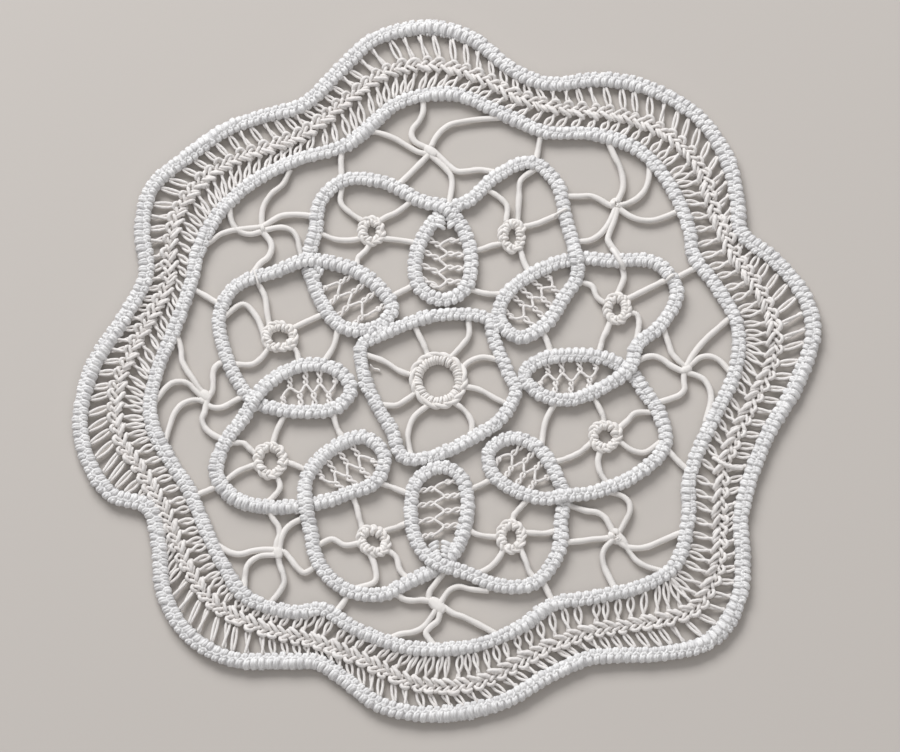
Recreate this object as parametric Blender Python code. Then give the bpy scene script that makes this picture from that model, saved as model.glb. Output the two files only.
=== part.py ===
"""Point-lace doily: crocheted cords laid flat in an eight-petalled flower and
two scalloped borders, joined by needle-made bars, rings, spiders and an
openwork insertion.

Metres, +Z up.  The doily lies flat on the surface z = 0, its origin under the
middle of its bounding box.  +Y is the side that the tables name "top".

The tables give points as (u, v), counted in squares to the right and down on
an upright sheet in front of the lying doily, which shows it at a slant from
its lower edge.  lay() takes a point of the sheet to the plan.
"""
import math
from collections import namedtuple

import bmesh
import bpy
import numpy as np

# ---------------------------------------------------------------- sizes
SQUARE = 0.00026            # one square of the sheet, at its middle
SHEET_MIDDLE = (450.0, 376.0)
SHEET_SLANT = math.radians(18.5)
SHEET_EYE = 1.20            # distance from the eye to the sheet's middle

GAP = 0.00034               # between neighbouring pieces
CORD_HEIGHT = 0.0029        # crocheted cord, flat underneath
OUTER_HALF = 0.00215        # half the width of each cord
INNER_HALF = 0.00195
PETAL_HALF = 0.00200
TEAR_HALF = 0.00185
CENTRE_HALF = 0.00185
BAR_WIDTH = 0.0017          # buttonholed bar, lifted a little off the table
BAR_BOTTOM = 0.0004
BAR_TOP = 0.0021
RING_WIDTH = 0.0024         # buttonholed ring
BAND_BOTTOM = 0.0003        # needle-made insertion between the borders
BAND_TOP = 0.0018
BAND_GAP = 0.00042
BAND_STATIONS = 90
HUB_RADIUS = 0.0016         # knot in the middle of a spider
NET_WIDTH = 0.0009          # to-and-fro thread inside a teardrop
NET_BOTTOM = 0.0006
NET_TOP = 0.0015

# ---------------------------------------------------------------- tables
# Points are (u, v) squares.  Each cord runs clockwise as seen from above.

Lobe = namedtuple("Lobe", "place valley rise shoulder_1 crown shoulder_2 fall")
OUTER_LOBES = [
    Lobe("top", (303, 105), (343, 67), (373, 40), (428, 28), (471, 39), (517, 73)),
    Lobe("upper right", (548, 84), (600, 80), (650, 89), (698, 117), (727, 160), (738, 203)),
    Lobe("right", (741, 232), (775, 260), (805, 298), (813, 335), (797, 384), (764, 442)),
    Lobe("lower right", (741, 515), (743, 560), (738, 600), (710, 640), (660, 654), (620, 655.5)),
    Lobe("bottom", (590, 658), (550, 675), (500, 703), (440, 715), (380, 705), (341, 677)),
    Lobe("lower left", (318, 663), (280, 662), (230, 659), (185, 631), (163, 590), (159, 545)),
    Lobe("left", (148, 507), (112, 495), (87, 458), (80, 420), (92, 370), (122, 321)),
    Lobe("upper left", (146, 275), (142, 230), (152, 188), (187, 157), (225, 130), (265, 116)),
]

Scallop = namedtuple("Scallop", "place valley rise crown_1 crown_2 fall")
INNER_SCALLOPS = [
    Scallop("top", (345, 146), (365, 132), (400, 102), (455, 95), (510, 118)),
    Scallop("upper right", (545, 132), (590, 134), (640, 151), (672, 189), (689, 228)),
    Scallop("right", (694, 257), (717, 287), (737, 325), (735, 372), (710, 425)),
    Scallop("lower right", (689, 480), (688, 520), (676, 564), (640, 587), (595, 597)),
    Scallop("bottom", (555, 604), (521, 627), (470, 647), (410, 648), (357, 630)),
    Scallop("lower left", (322, 609), (295, 613), (248, 598), (222, 563), (204, 525)),
    Scallop("left", (188, 489), (170, 460), (150, 415), (156, 375), (176, 325)),
    Scallop("upper left", (192, 280), (197, 253), (215, 219), (250, 184), (300, 159)),
]

Petal = namedtuple("Petal", "place foot rise shoulder_1 crown_1 crown_2 fall")
PETALS = [
    Petal("top left", (307, 262), (315, 232), (320, 202), (345, 180), (385, 183), (420, 201)),
    Petal("top right", (446, 210), (470, 200), (495, 177), (530, 162), (556, 182), (566, 220)),
    Petal("right upper", (576, 258), (610, 261), (655, 263), (677, 292), (660, 326), (637, 345)),
    Petal("right lower", (629, 370), (643, 389), (660, 414), (665, 446), (637, 474), (595, 492)),
    Petal("bottom right", (564, 497), (561, 521), (559, 550), (535, 583), (500, 586), (464, 572)),
    Petal("bottom left", (441, 566), (412, 581), (380, 595), (345, 589), (319, 564), (311, 530)),
    Petal("left lower", (306, 505), (270, 508), (235, 499), (216, 475), (224, 444), (244, 418)),
    Petal("left upper", (254, 401), (237, 380), (225, 352), (219, 318), (235, 287), (275, 272)),
]

Teardrop = namedtuple("Teardrop", "place tip side_a1 side_a2 side_a3 end side_b3 side_b2 side_b1")
TEARDROPS = [
    Teardrop("top", (446, 213), (464, 232), (471, 262), (464, 290), (441, 300), (420, 288), (415, 262), (425, 234)),
    Teardrop("upper right", (576, 260), (577, 277), (563, 299), (547, 323), (520, 338), (499, 320), (506, 295), (536, 272)),
    Teardrop("right", (629, 371), (605, 386), (569, 400), (540, 394), (524, 376), (540, 360), (572, 355), (604, 358)),
    Teardrop("lower right", (565, 497), (545, 499), (514, 490), (493, 474), (489, 452), (513, 438), (540, 450), (556, 475)),
    Teardrop("bottom", (440, 564), (420, 548), (411, 515), (417, 481), (440, 467), (461, 477), (468, 508), (459, 545)),
    Teardrop("lower left", (307, 506), (307, 478), (333, 449), (365, 438), (384, 456), (376, 482), (347, 494), (324, 502)),
    Teardrop("left", (253, 399), (275, 378), (308, 365), (338, 371), (351, 390), (336, 408), (306, 412), (275, 409)),
    Teardrop("upper left", (307, 263), (345, 267), (373, 283), (392, 308), (377, 327), (343, 328), (323, 306), (312, 280)),
]

Side = namedtuple("Side", "corner near middle far")
CENTRE_SIDES = [
    Side((362, 345), (384, 334), (422, 319), (458, 314)),
    Side((489, 320), (493, 336), (500, 355), (508, 373)),
    Side((516, 391), (502, 417), (470, 440), (434, 456)),
    Side((404, 458), (391, 430), (374, 400), (362, 368)),
]

# Buttonholed rings: middle, half width, half depth, turn of the oval.
Ring = namedtuple("Ring", "place middle half_u half_v turn_deg")
PETAL_RINGS = [
    Ring("top left", (371, 231), 11.0, 12.0, 0),
    Ring("top right", (511.5, 235.5), 9.5, 14.5, 0),
    Ring("right upper", (616, 308), 11.5, 12.0, 0),
    Ring("right lower", (604, 435), 13.5, 11.5, 0),
    Ring("bottom right", (512, 537), 11.5, 12.5, 0),
    Ring("bottom left", (374, 542), 13.5, 11.0, -35),
    Ring("left lower", (270, 461.5), 13.5, 13.0, 0),
    Ring("left upper", (280, 337), 14.5, 12.0, 0),
]
CENTRE_RING = Ring("centre", (438.5, 380.5), 23.0, 23.0, 0)

# A bar runs from its foot on a cord, past two bends, to its hub.
Bar = namedtuple("Bar", "foot bend_1 bend_2 hub")
PETAL_RING_BARS = [
    [Bar((342, 186), (341, 203), (352, 214), (363, 221)),
     Bar((409, 203), (397, 212), (386, 217), (378, 222)),
     Bar((322, 234), (335, 239), (350, 240), (362, 238)),
     Bar((412, 242), (400, 240), (391, 239), (380, 238)),
     Bar((357, 266), (358, 258), (366, 250), (371, 242))],
    [Bar((488, 190), (499, 197), (507, 206), (506, 222)),
     Bar((537, 168), (521, 180), (519, 198), (518, 222)),
     Bar((563, 213), (552, 217), (538, 223), (521, 227)),
     Bar((528, 270), (524, 262), (521, 252), (518, 244)),
     Bar((474, 251), (484, 248), (493, 245), (503, 243))],
    [Bar((621, 264), (624, 277), (620, 288), (615, 298)),
     Bar((674, 276), (657, 284), (643, 291), (625, 300)),
     Bar((637, 337), (639, 322), (636, 314), (626, 312)),
     Bar((600, 349), (603, 338), (607, 330), (611, 319)),
     Bar((581, 282), (592, 286), (597, 297), (606, 304))],
    [Bar((593, 396), (599, 407), (603, 416), (604, 425)),
     Bar((652, 412), (635, 413), (627, 421), (616, 431)),
     Bar((660, 442), (645, 452), (632, 450), (616, 438)),
     Bar((608, 484), (601, 474), (598, 461), (602, 446)),
     Bar((554, 462), (570, 457), (580, 452), (592, 442))],
    [Bar((527, 500), (519, 509), (514, 515), (512, 525)),
     Bar((556, 531), (545, 533), (535, 533), (522, 532)),
     Bar((466, 526), (474, 533), (486, 536), (502, 537)),
     Bar((479, 573), (490, 567), (498, 559), (505, 547)),
     Bar((536, 580), (529, 571), (526, 562), (520, 547))],
    [Bar((353, 497), (357, 508), (359, 517), (363, 531)),
     Bar((407, 523), (397, 527), (390, 529), (379, 533)),
     Bar((320, 544), (332, 539), (345, 545), (363, 542)),
     Bar((357, 588), (375, 581), (375, 567), (367, 547)),
     Bar((407, 578), (400, 570), (396, 557), (385, 548))],
    [Bar((283, 418), (277, 430), (274, 439), (272, 448)),
     Bar((230, 443), (243, 443), (250, 449), (258, 456)),
     Bar((218, 488), (230, 477), (240, 470), (257, 464)),
     Bar((310, 472), (300, 467), (290, 463), (281, 461)),
     Bar((265, 504), (274, 496), (280, 487), (274, 470))],
    [Bar((258, 283), (265, 297), (267, 312), (270, 328)),
     Bar((225, 314), (245, 305), (257, 320), (267, 337)),
     Bar((235, 364), (252, 364), (261, 358), (270, 346)),
     Bar((323, 314), (312, 319), (303, 323), (291, 329)),
     Bar((299, 364), (298, 356), (295, 349), (290, 345))],
]
CENTRE_RING_BARS = [
    Bar((413, 322), (419, 335), (424, 345), (429, 359)),
    Bar((468, 318), (469, 335), (463, 344), (449, 359)),
    Bar((496, 359), (482, 357), (470, 361), (459, 371)),
    Bar((510, 405), (495, 398), (478, 389), (461, 386)),
    Bar((469, 440), (472, 424), (465, 411), (451, 400)),
    Bar((411, 456), (408, 434), (414, 417), (431, 403)),
    Bar((378, 404), (396, 405), (407, 399), (419, 390)),
    Bar((364, 354), (384, 361), (400, 371), (416, 376)),
]

# Spiders: six legs meet in a knot in each gap outside the flower.
Spider = namedtuple("Spider", "place hub legs")
Leg = namedtuple("Leg", "foot bend_1 bend_2")
SPIDERS = [
    Spider("top", (431, 152), [
        Leg((367, 130), (387, 133), (411, 145)), Leg((423, 100), (417, 119), (414, 134)),
        Leg((495, 115), (468, 117), (446, 129)), Leg((401, 182), (410, 172), (420, 162)),
        Leg((449, 204), (453, 183), (444, 165)), Leg((494, 170), (475, 169), (447, 166))]),
    Spider("upper right", (616, 206), [
        Leg((562, 196), (580, 195), (598, 199)), Leg((607, 138), (614, 156), (622, 178)),
        Leg((652, 165), (650, 181), (636, 198)), Leg((678, 209), (660, 217), (638, 217)),
        Leg((578, 240), (592, 239), (605, 225)), Leg((620, 258), (609, 243), (611, 225))]),
    Spider("right", (687, 372), [
        Leg((662, 330), (670, 345), (677, 359)), Leg((730, 319), (714, 328), (699, 349)),
        Leg((730, 371), (716, 360), (703, 362)), Leg((710, 410), (713, 393), (703, 381)),
        Leg((658, 404), (676, 396), (684, 386)), Leg((636, 361), (652, 355), (669, 365))]),
    Spider("lower right", (614, 534), [
        Leg((615, 488), (627, 497), (626, 515)), Leg((572, 502), (590, 509), (604, 519)),
        Leg((566, 543), (585, 540), (600, 537)), Leg((684, 531), (662, 544), (637, 547)),
        Leg((667, 575), (645, 565), (627, 550)), Leg((616, 592), (606, 574), (604, 553))]),
    Spider("bottom", (438, 606), [
        Leg((441, 574), (432, 586), (432, 596)), Leg((395, 593), (405, 599), (421, 602)),
        Leg((483, 587), (463, 586), (449, 594)), Leg((503, 638), (482, 629), (458, 615)),
        Leg((384, 644), (404, 636), (424, 627)), Leg((436, 648), (427, 634), (433, 620))]),
    Spider("lower left", (279, 552), [
        Leg((269, 511), (275, 524), (279, 538)), Leg((300, 518), (290, 526), (283, 539)),
        Leg((315, 566), (304, 573), (291, 561)), Leg((217, 546), (238, 549), (260, 550)),
        Leg((244, 589), (243, 569), (257, 558)), Leg((271, 605), (284, 588), (283, 568))]),
    Spider("left", (205, 395), [
        Leg((177, 335), (181, 357), (192, 380)), Leg((158, 397), (171, 385), (188, 387)),
        Leg((163, 443), (169, 421), (186, 404)), Leg((224, 361), (213, 370), (210, 382)),
        Leg((245, 397), (229, 406), (216, 404)), Leg((226, 441), (209, 432), (204, 412))]),
    Spider("upper left", (262, 226), [
        Leg((290, 175), (279, 192), (265, 207)), Leg((227, 210), (232, 223), (247, 227)),
        Leg((203, 244), (217, 236), (240, 232)), Leg((314, 216), (296, 214), (278, 219)),
        Leg((303, 257), (299, 237), (282, 226)), Leg((254, 273), (269, 255), (268, 238))]),
]

# Ties from the flower to the inner border, links between teardrops.
Tie = namedtuple("Tie", "start middle end")
TIES = [
    Tie((342, 180), (341, 162), (342, 145)), Tie((535, 166), (538, 150), (541, 133)),
    Tie((674, 279), (687, 272), (700, 266)), Tie((664, 445), (677, 460), (690, 472)),
    Tie((540, 576), (547, 590), (554, 604)), Tie((350, 590), (343, 603), (334, 614)),
    Tie((220, 485), (206, 491), (190, 497)), Tie((219, 304), (204, 295), (190, 287)),
]
LINKS = [
    Tie((390, 297), (402, 291), (416, 284)), Tie((467, 288), (484, 293), (504, 294)),
    Tie((541, 328), (547, 341), (552, 356)), Tie((557, 400), (546, 420), (541, 449)),
    Tie((496, 477), (482, 484), (466, 491)), Tie((412, 495), (394, 488), (376, 481)),
    Tie((346, 442), (338, 430), (332, 410)), Tie((338, 327), (334, 345), (321, 366)),
]


# ---------------------------------------------------------------- layout
def lay(point):
    """Plan position, in metres, of a point of the sheet."""
    across = (point[0] - SHEET_MIDDLE[0]) * SQUARE
    up = (SHEET_MIDDLE[1] - point[1]) * SQUARE
    grow = 1.0 / (1.0 - math.tan(SHEET_SLANT) / SHEET_EYE * up)
    return np.array([grow * across, grow * up / math.cos(SHEET_SLANT)])


def smooth(points, closed, step=0.0004):
    """Centripetal spline through the points, evenly stepped."""
    pts = [np.asarray(p, float) for p in points]
    if not closed:
        pts = [2 * pts[0] - pts[1]] + pts + [2 * pts[-1] - pts[-2]]
        spans = range(1, len(pts) - 2)
    else:
        spans = range(len(pts))
    n = len(pts)
    out = []
    for i in spans:
        p0, p1, p2, p3 = pts[(i - 1) % n], pts[i], pts[(i + 1) % n], pts[(i + 2) % n]
        t0 = 0.0
        t1 = t0 + math.sqrt(np.linalg.norm(p1 - p0))
        t2 = t1 + math.sqrt(np.linalg.norm(p2 - p1))
        t3 = t2 + math.sqrt(np.linalg.norm(p3 - p2))
        t = np.linspace(t1, t2, 24, endpoint=False)[:, None]
        a1 = (t1 - t) / (t1 - t0) * p0 + (t - t0) / (t1 - t0) * p1
        a2 = (t2 - t) / (t2 - t1) * p1 + (t - t1) / (t2 - t1) * p2
        a3 = (t3 - t) / (t3 - t2) * p2 + (t - t2) / (t3 - t2) * p3
        b1 = (t2 - t) / (t2 - t0) * a1 + (t - t0) / (t2 - t0) * a2
        b2 = (t3 - t) / (t3 - t1) * a2 + (t - t1) / (t3 - t1) * a3
        out.append((t2 - t) / (t2 - t1) * b1 + (t - t1) / (t2 - t1) * b2)
    line = np.vstack(out)
    if not closed:
        line = np.vstack([line, pts[-2]])
    return respace(line, closed, step)


def respace(line, closed, step):
    """The same line with points an even step apart."""
    ends = np.vstack([line, line[:1]]) if closed else line
    run = np.concatenate([[0], np.cumsum(np.linalg.norm(np.diff(ends, axis=0), axis=1))])
    count = max(3, int(round(run[-1] / step)))
    at = np.linspace(0, run[-1], count + 1)
    if closed:
        at = at[:-1]
    return np.column_stack([np.interp(at, run, ends[:, k]) for k in (0, 1)])


def nearest(points, line, closed):
    """Distance from each point to a line, and the nearest place on it."""
    a = line
    b = np.roll(line, -1, axis=0)
    if not closed:
        a, b = line[:-1], line[1:]
    ab = b - a
    size = (ab ** 2).sum(1) + 1e-18
    t = ((points[:, None, :] - a[None]) * ab[None]).sum(2) / size[None]
    foot = a[None] + np.clip(t, 0, 1)[..., None] * ab[None]
    away = np.linalg.norm(points[:, None, :] - foot, axis=2)
    k = away.argmin(axis=1)
    rows = np.arange(len(points))
    return away[rows, k], foot[rows, k]


def ease(line, least_radius, step=0.0004, keep_off=()):
    """Open out bends tighter than a cord can take, and move the line off its
    neighbours: keep_off holds (neighbour line, least distance)."""
    for _ in range(90):
        before, after = np.roll(line, 1, axis=0), np.roll(line, -1, axis=0)
        middle = (before + after) / 2
        bend = np.linalg.norm(middle - line, axis=1) * 2 / step ** 2
        tight = np.clip(bend * least_radius, 0.9, 2.0) - 0.9
        line = line + (middle - line) * np.clip(tight * 2.0, 0, 0.9)[:, None]
        for other, least in keep_off:
            away, foot = nearest(line, other, True)
            near = away < least
            if near.any():
                push = (line - foot) / np.maximum(away, 1e-9)[:, None]
                line = line + np.where(near, (least - away) * 0.7, 0)[:, None] * push
        line = respace(line, True, step)
    return line


def stations(line, closed, longest, sharpest_deg):
    """Fewer points: close together round a bend, wide apart where straight."""
    if closed:
        before, after = np.roll(line, 3, axis=0), np.roll(line, -3, axis=0)
    else:
        before, after = np.vstack([line[:1]] * 3 + [line[:-3]]), np.vstack([line[3:]] + [line[-1:]] * 3)
    a, b = line - before, after - line
    turn = np.abs(np.arctan2(a[:, 0] * b[:, 1] - a[:, 1] * b[:, 0], (a * b).sum(1))) / 3
    ends = np.vstack([line, line[:1]]) if closed else line
    run = np.linalg.norm(np.diff(ends, axis=0), axis=1)
    cost = run / longest + turn[:len(run)] / math.radians(sharpest_deg)
    total = np.concatenate([[0], np.cumsum(cost)])
    count = max(3 if closed else 2, int(math.ceil(total[-1])))
    at = np.linspace(0, total[-1], count + 1)
    if closed:
        at = at[:-1]
    return np.column_stack([np.interp(at, total, ends[:, k]) for k in (0, 1)])


def trimmed(line, cords, half_width):
    """An open line cut back at each end, square across, so that both edges of
    the bar clear the cords: cords holds (centre line, half width)."""
    along = np.gradient(line, axis=0)
    along /= np.linalg.norm(along, axis=1)[:, None]
    side = np.column_stack([-along[:, 1], along[:, 0]]) * half_width
    free = np.full(len(line), 1e9)
    for cord, half in cords:
        for edge in (line, line + side, line - side):
            free = np.minimum(free, nearest(edge, cord, True)[0] - half)
    clear = np.where(free >= GAP)[0]
    return clear


# ---------------------------------------------------------------- modelling
def material(name, colour, roughness):
    mat = bpy.data.materials.new(name)
    mat.use_nodes = True
    shader = mat.node_tree.nodes["Principled BSDF"]
    shader.inputs["Base Color"].default_value = (*colour, 1)
    shader.inputs["Roughness"].default_value = roughness
    shader.inputs["Metallic"].default_value = 0
    return mat


def profile(name, outline):
    """A closed cross-section for curves: (across, up) corners."""
    curve = bpy.data.curves.new(name, "CURVE")
    curve.dimensions = "2D"
    spline = curve.splines.new("POLY")
    spline.points.add(len(outline) - 1)
    for point, (across, up) in zip(spline.points, reversed(outline)):
        point.co = (across, up, 0, 1)
    spline.use_cyclic_u = True
    guide = bpy.data.objects.new(name, curve)
    bpy.context.collection.objects.link(guide)
    guide.hide_render = True
    guide.display_type = "WIRE"
    return guide


def cord_profile(name, half, height):
    """Flat underneath, drawn in towards the top."""
    return profile(name, [(-half, 0), (half, 0), (0.64 * half, height), (-0.64 * half, height)])


def swept(name, line, closed, section, mat, height=0.0):
    """A curve object that carries its section along the line."""
    curve = bpy.data.curves.new(name, "CURVE")
    curve.dimensions = "3D"
    curve.twist_mode = "Z_UP"
    curve.bevel_mode = "OBJECT"
    curve.bevel_object = section
    curve.use_fill_caps = True
    curve.resolution_u = 1
    curve.render_resolution_u = 0
    spline = curve.splines.new("POLY")
    spline.points.add(len(line) - 1)
    for point, (x, y) in zip(spline.points, line):
        point.co = (x, y, height, 1)
    spline.use_cyclic_u = closed
    obj = bpy.data.objects.new(name, curve)
    bpy.context.collection.objects.link(obj)
    curve.materials.append(mat)
    return obj


def as_mesh(obj, name, mat, show=True):
    """Turn a swept curve into a mesh object, for joining."""
    bpy.context.view_layer.update()
    mesh = bpy.data.meshes.new_from_object(obj.evaluated_get(bpy.context.evaluated_depsgraph_get()))
    bpy.data.objects.remove(obj)
    solid = bpy.data.objects.new(name, mesh)
    bpy.context.collection.objects.link(solid)
    mesh.materials.clear()
    mesh.materials.append(mat)
    if not show:
        solid.hide_render = True
        solid.display_type = "WIRE"
    return solid


def join(body, parts):
    """Unite the parts with the body, each by its own Boolean."""
    for part in parts:
        union = body.modifiers.new("join_" + part.name, "BOOLEAN")
        union.operation = "UNION"
        union.solver = "EXACT"
        union.object = part


def disc(name, middle, radius, sides, bottom, top, mat):
    """A short upright prism, the knot of a spider."""
    mesh = bpy.data.meshes.new(name)
    bm = bmesh.new()
    bmesh.ops.create_cone(bm, cap_ends=True, segments=sides, radius1=radius, radius2=radius * 0.8, depth=top - bottom)
    bmesh.ops.translate(bm, verts=bm.verts, vec=(middle[0], middle[1], (top + bottom) / 2))
    bm.to_mesh(mesh)
    bm.free()
    obj = bpy.data.objects.new(name, mesh)
    bpy.context.collection.objects.link(obj)
    mesh.materials.append(mat)
    return obj


def oval(ring, shift):
    """Centre line of a buttonholed ring."""
    turn = math.radians(ring.turn_deg)
    pts = []
    for i in range(40):
        a = -2 * math.pi * i / 40
        u, v = ring.half_u * math.cos(a), ring.half_v * math.sin(a)
        pts.append(lay((ring.middle[0] + u * math.cos(turn) - v * math.sin(turn),
                        ring.middle[1] - u * math.sin(turn) - v * math.cos(turn))) - shift)
    return np.array(pts)


def band(name, outer, inner, mat):
    """The insertion: one closed strip that fills the space between the two
    borders, its edges a gap off both cords."""
    angles = np.arange(BAND_STATIONS) * 2 * math.pi / BAND_STATIONS
    rays = np.column_stack([np.cos(angles), np.sin(angles)])
    reach = np.arange(0.030, 0.110, 0.0001)
    edges = []
    for cord, half, way in ((outer, OUTER_HALF, -1), (inner, INNER_HALF, 1)):
        radii = []
        for ray in rays:
            away = nearest(ray[None] * reach[:, None], cord, True)[0]
            k = int(away.argmin())
            while away[k] < half + BAND_GAP:
                k += way
            radii.append(reach[k])
        radii = np.array(radii)
        # where a straight side would cut across a valley, both its ends draw back
        for _ in range(40):
            edge = rays * radii[:, None]
            along = np.linspace(0, 1, 9)[None, :, None]
            chord = edge[:, None] * (1 - along) + np.roll(edge, -1, axis=0)[:, None] * along
            away = nearest(chord.reshape(-1, 2), cord, True)[0].reshape(BAND_STATIONS, -1).min(axis=1)
            short = np.clip(half + BAND_GAP - 0.00003 - away, 0, None)
            if not short.any():
                break
            radii = radii + way * (short + np.roll(short, 1)) * 0.8
        edges.append(rays * radii[:, None])
    outer_edge, inner_edge = edges
    mesh = bpy.data.meshes.new(name)
    bm = bmesh.new()
    rings = [[bm.verts.new((x, y, z)) for x, y in edge]
             for edge, z in ((outer_edge, BAND_BOTTOM), (outer_edge, BAND_TOP), (inner_edge, BAND_TOP), (inner_edge, BAND_BOTTOM))]
    for k in range(4):
        a, b = rings[k], rings[(k + 1) % 4]
        for i in range(BAND_STATIONS):
            j = (i + 1) % BAND_STATIONS
            bm.faces.new((a[i], a[j], b[j], b[i]))
    bmesh.ops.recalc_face_normals(bm, faces=bm.faces)
    bm.to_mesh(mesh)
    bm.free()
    obj = bpy.data.objects.new(name, mesh)
    bpy.context.collection.objects.link(obj)
    mesh.materials.append(mat)
    return obj


def bar_line(points, cords, shift):
    """A bar's smooth line, run on into the cord at its foot and cut there."""
    pts = [lay(p) - shift for p in points]
    first = pts[0] - pts[1]
    pts = [pts[0] + first / np.linalg.norm(first) * 0.003] + pts
    line = smooth(pts, False)
    keep = trimmed(line, cords, BAR_WIDTH / 2)
    gaps = np.where(np.diff(keep) > 1)[0]
    start = keep[gaps[-1] + 1] if len(gaps) else keep[0]
    return line[start:]


def tie_line(points, cords, shift, width):
    """A short bar cut at both ends, between two cords."""
    pts = [lay(p) - shift for p in points]
    line = smooth(pts, False)
    keep = trimmed(line, cords, width / 2)
    middle = len(line) // 2
    runs = np.split(keep, np.where(np.diff(keep) > 1)[0] + 1)
    run = min(runs, key=lambda r: abs(r.mean() - middle))
    return line[run[0]:run[-1] + 1]


def net_line(drop, loop, shift):
    """To-and-fro thread inside a teardrop, from the tip end to the round end."""
    tip, end = lay(drop.tip) - shift, lay(drop.end) - shift
    along = (end - tip) / np.linalg.norm(end - tip)
    side = np.array([-along[1], along[0]])
    points = []
    turns = 6
    for i in range(turns + 1):
        at = tip + (end - tip) * (0.34 + 0.45 * i / turns)
        way = side if i % 2 else -side
        ray = at[None] + way[None] * np.arange(0, 0.009, 0.00005)[:, None]
        away = nearest(ray, loop, True)[0]
        reach = np.where(away < TEAR_HALF + GAP + NET_WIDTH * 0.75)[0]
        points.append(ray[reach[0]] if len(reach) else ray[-1])
    return np.array(points)


def main():
    for obj in list(bpy.data.objects):
        bpy.data.objects.remove(obj)

    cotton = material("cord_cotton", (0.78, 0.79, 0.81), 0.85)
    thread = material("bar_cotton", (0.80, 0.77, 0.71), 0.65)
    needle = material("insertion_cotton", (0.74, 0.72, 0.68), 0.75)

    # centre lines of the cords, on the sheet
    outer = ease(smooth([lay(p) for lobe in OUTER_LOBES for p in lobe[1:]], True), OUTER_HALF + 0.0009)
    low, high = outer.min(axis=0), outer.max(axis=0)
    shift = (low + high) / 2
    outer = outer - shift
    inner = ease(smooth([lay(p) - shift for s in INNER_SCALLOPS for p in s[1:]], True), INNER_HALF + 0.0010)
    petals = ease(smooth([lay(p) - shift for s in PETALS for p in s[1:]], True), PETAL_HALF + 0.0006)
    centre = ease(smooth([lay(p) - shift for s in CENTRE_SIDES for p in s], True), CENTRE_HALF + 0.0006)

    outer_s = stations(outer, True, 0.0105, 27)
    outer_s = outer_s - (outer_s.min(axis=0) + outer_s.max(axis=0)) / 2
    inner_s = stations(inner, True, 0.0105, 27)
    petals_s = stations(petals, True, 0.0095, 28)
    centre_s = stations(centre, True, 0.0090, 28)

    swept("outer_cord", outer_s, True, cord_profile("outer_profile", OUTER_HALF, CORD_HEIGHT), cotton)
    swept("inner_cord", inner_s, True, cord_profile("inner_profile", INNER_HALF, CORD_HEIGHT), cotton)
    swept("petals_cord", petals_s, True, cord_profile("petal_profile", PETAL_HALF, CORD_HEIGHT), cotton)
    swept("centre_cord", centre_s, True, cord_profile("centre_profile", CENTRE_HALF, CORD_HEIGHT), cotton)
    band("insertion", outer_s, inner_s, needle)

    # teardrops hang inside the flower, a gap off the cords they are sewn to
    tear_section = cord_profile("tear_profile", TEAR_HALF, CORD_HEIGHT)
    off = [(petals_s, PETAL_HALF + TEAR_HALF + GAP), (centre_s, CENTRE_HALF + TEAR_HALF + GAP)]
    tears = []
    for k, drop in enumerate(TEARDROPS):
        loop = ease(smooth([lay(p) - shift for p in drop[1:]], True), TEAR_HALF + 0.0006,
                    keep_off=off + [(t, 2 * TEAR_HALF + GAP) for t in tears])
        loop = stations(loop, True, 0.0090, 29)
        tears.append(loop)
        swept("teardrop_%d" % (k + 1), loop, True, tear_section, cotton)

    cords = [(outer_s, OUTER_HALF), (inner_s, INNER_HALF), (petals_s, PETAL_HALF),
             (centre_s, CENTRE_HALF)] + [(t, TEAR_HALF) for t in tears]

    # nets
    half = NET_WIDTH / 2
    net_section = profile("net_profile", [(-half, NET_BOTTOM), (half, NET_BOTTOM), (half, NET_TOP), (-half, NET_TOP)])
    for k, (drop, loop) in enumerate(zip(TEARDROPS, tears)):
        swept("teardrop_net_%d" % (k + 1), net_line(drop, loop, shift), False, net_section, needle)

    # rings with bars
    def bar_section(name, step):
        low_z, high_z = BAR_BOTTOM + 0.00003 * step, BAR_TOP + 0.00004 * step
        b = BAR_WIDTH / 2
        return profile(name, [(-b, low_z), (b, low_z), (b, high_z), (-b, high_z)])

    sections = [bar_section("bar_profile_%d" % i, i) for i in range(6)]
    r = RING_WIDTH / 2
    ring_section = profile("ring_profile", [(-r, 0.00015), (r, 0.00015), (0.66 * r, 0.0025), (-0.66 * r, 0.0025)])

    def rosette(name, ring, bars, sides):
        loop = oval(ring, shift)
        loop = loop[np.linspace(0, len(loop), sides, endpoint=False).round().astype(int)]
        body = as_mesh(swept(name + "_ring", loop, True, ring_section, thread), name, thread)
        parts = []
        for i, bar in enumerate(bars):
            line = stations(bar_line(bar, cords, shift), False, 0.0080, 34)
            parts.append(as_mesh(swept(name + "_line", line, False, sections[i % 6], thread),
                                 "%s_bar_%d" % (name, i + 1), thread, show=False))
        join(body, parts)

    for k, (ring, bars) in enumerate(zip(PETAL_RINGS, PETAL_RING_BARS)):
        rosette("petal_rosette_%d" % (k + 1), ring, bars, 12)
    rosette("centre_rosette", CENTRE_RING, CENTRE_RING_BARS, 20)

    # spiders
    for k, spider in enumerate(SPIDERS):
        name = "gap_spider_%d" % (k + 1)
        hub = lay(spider.hub) - shift
        body = disc(name, hub, HUB_RADIUS, 8, 0.00025, 0.00245, thread)
        parts = []
        for i, leg in enumerate(spider.legs):
            line = stations(bar_line([*leg, spider.hub], cords, shift), False, 0.0080, 34)
            parts.append(as_mesh(swept(name + "_line", line, False, sections[i], thread),
                                 "%s_leg_%d" % (name, i + 1), thread, show=False))
        join(body, parts)

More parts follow.
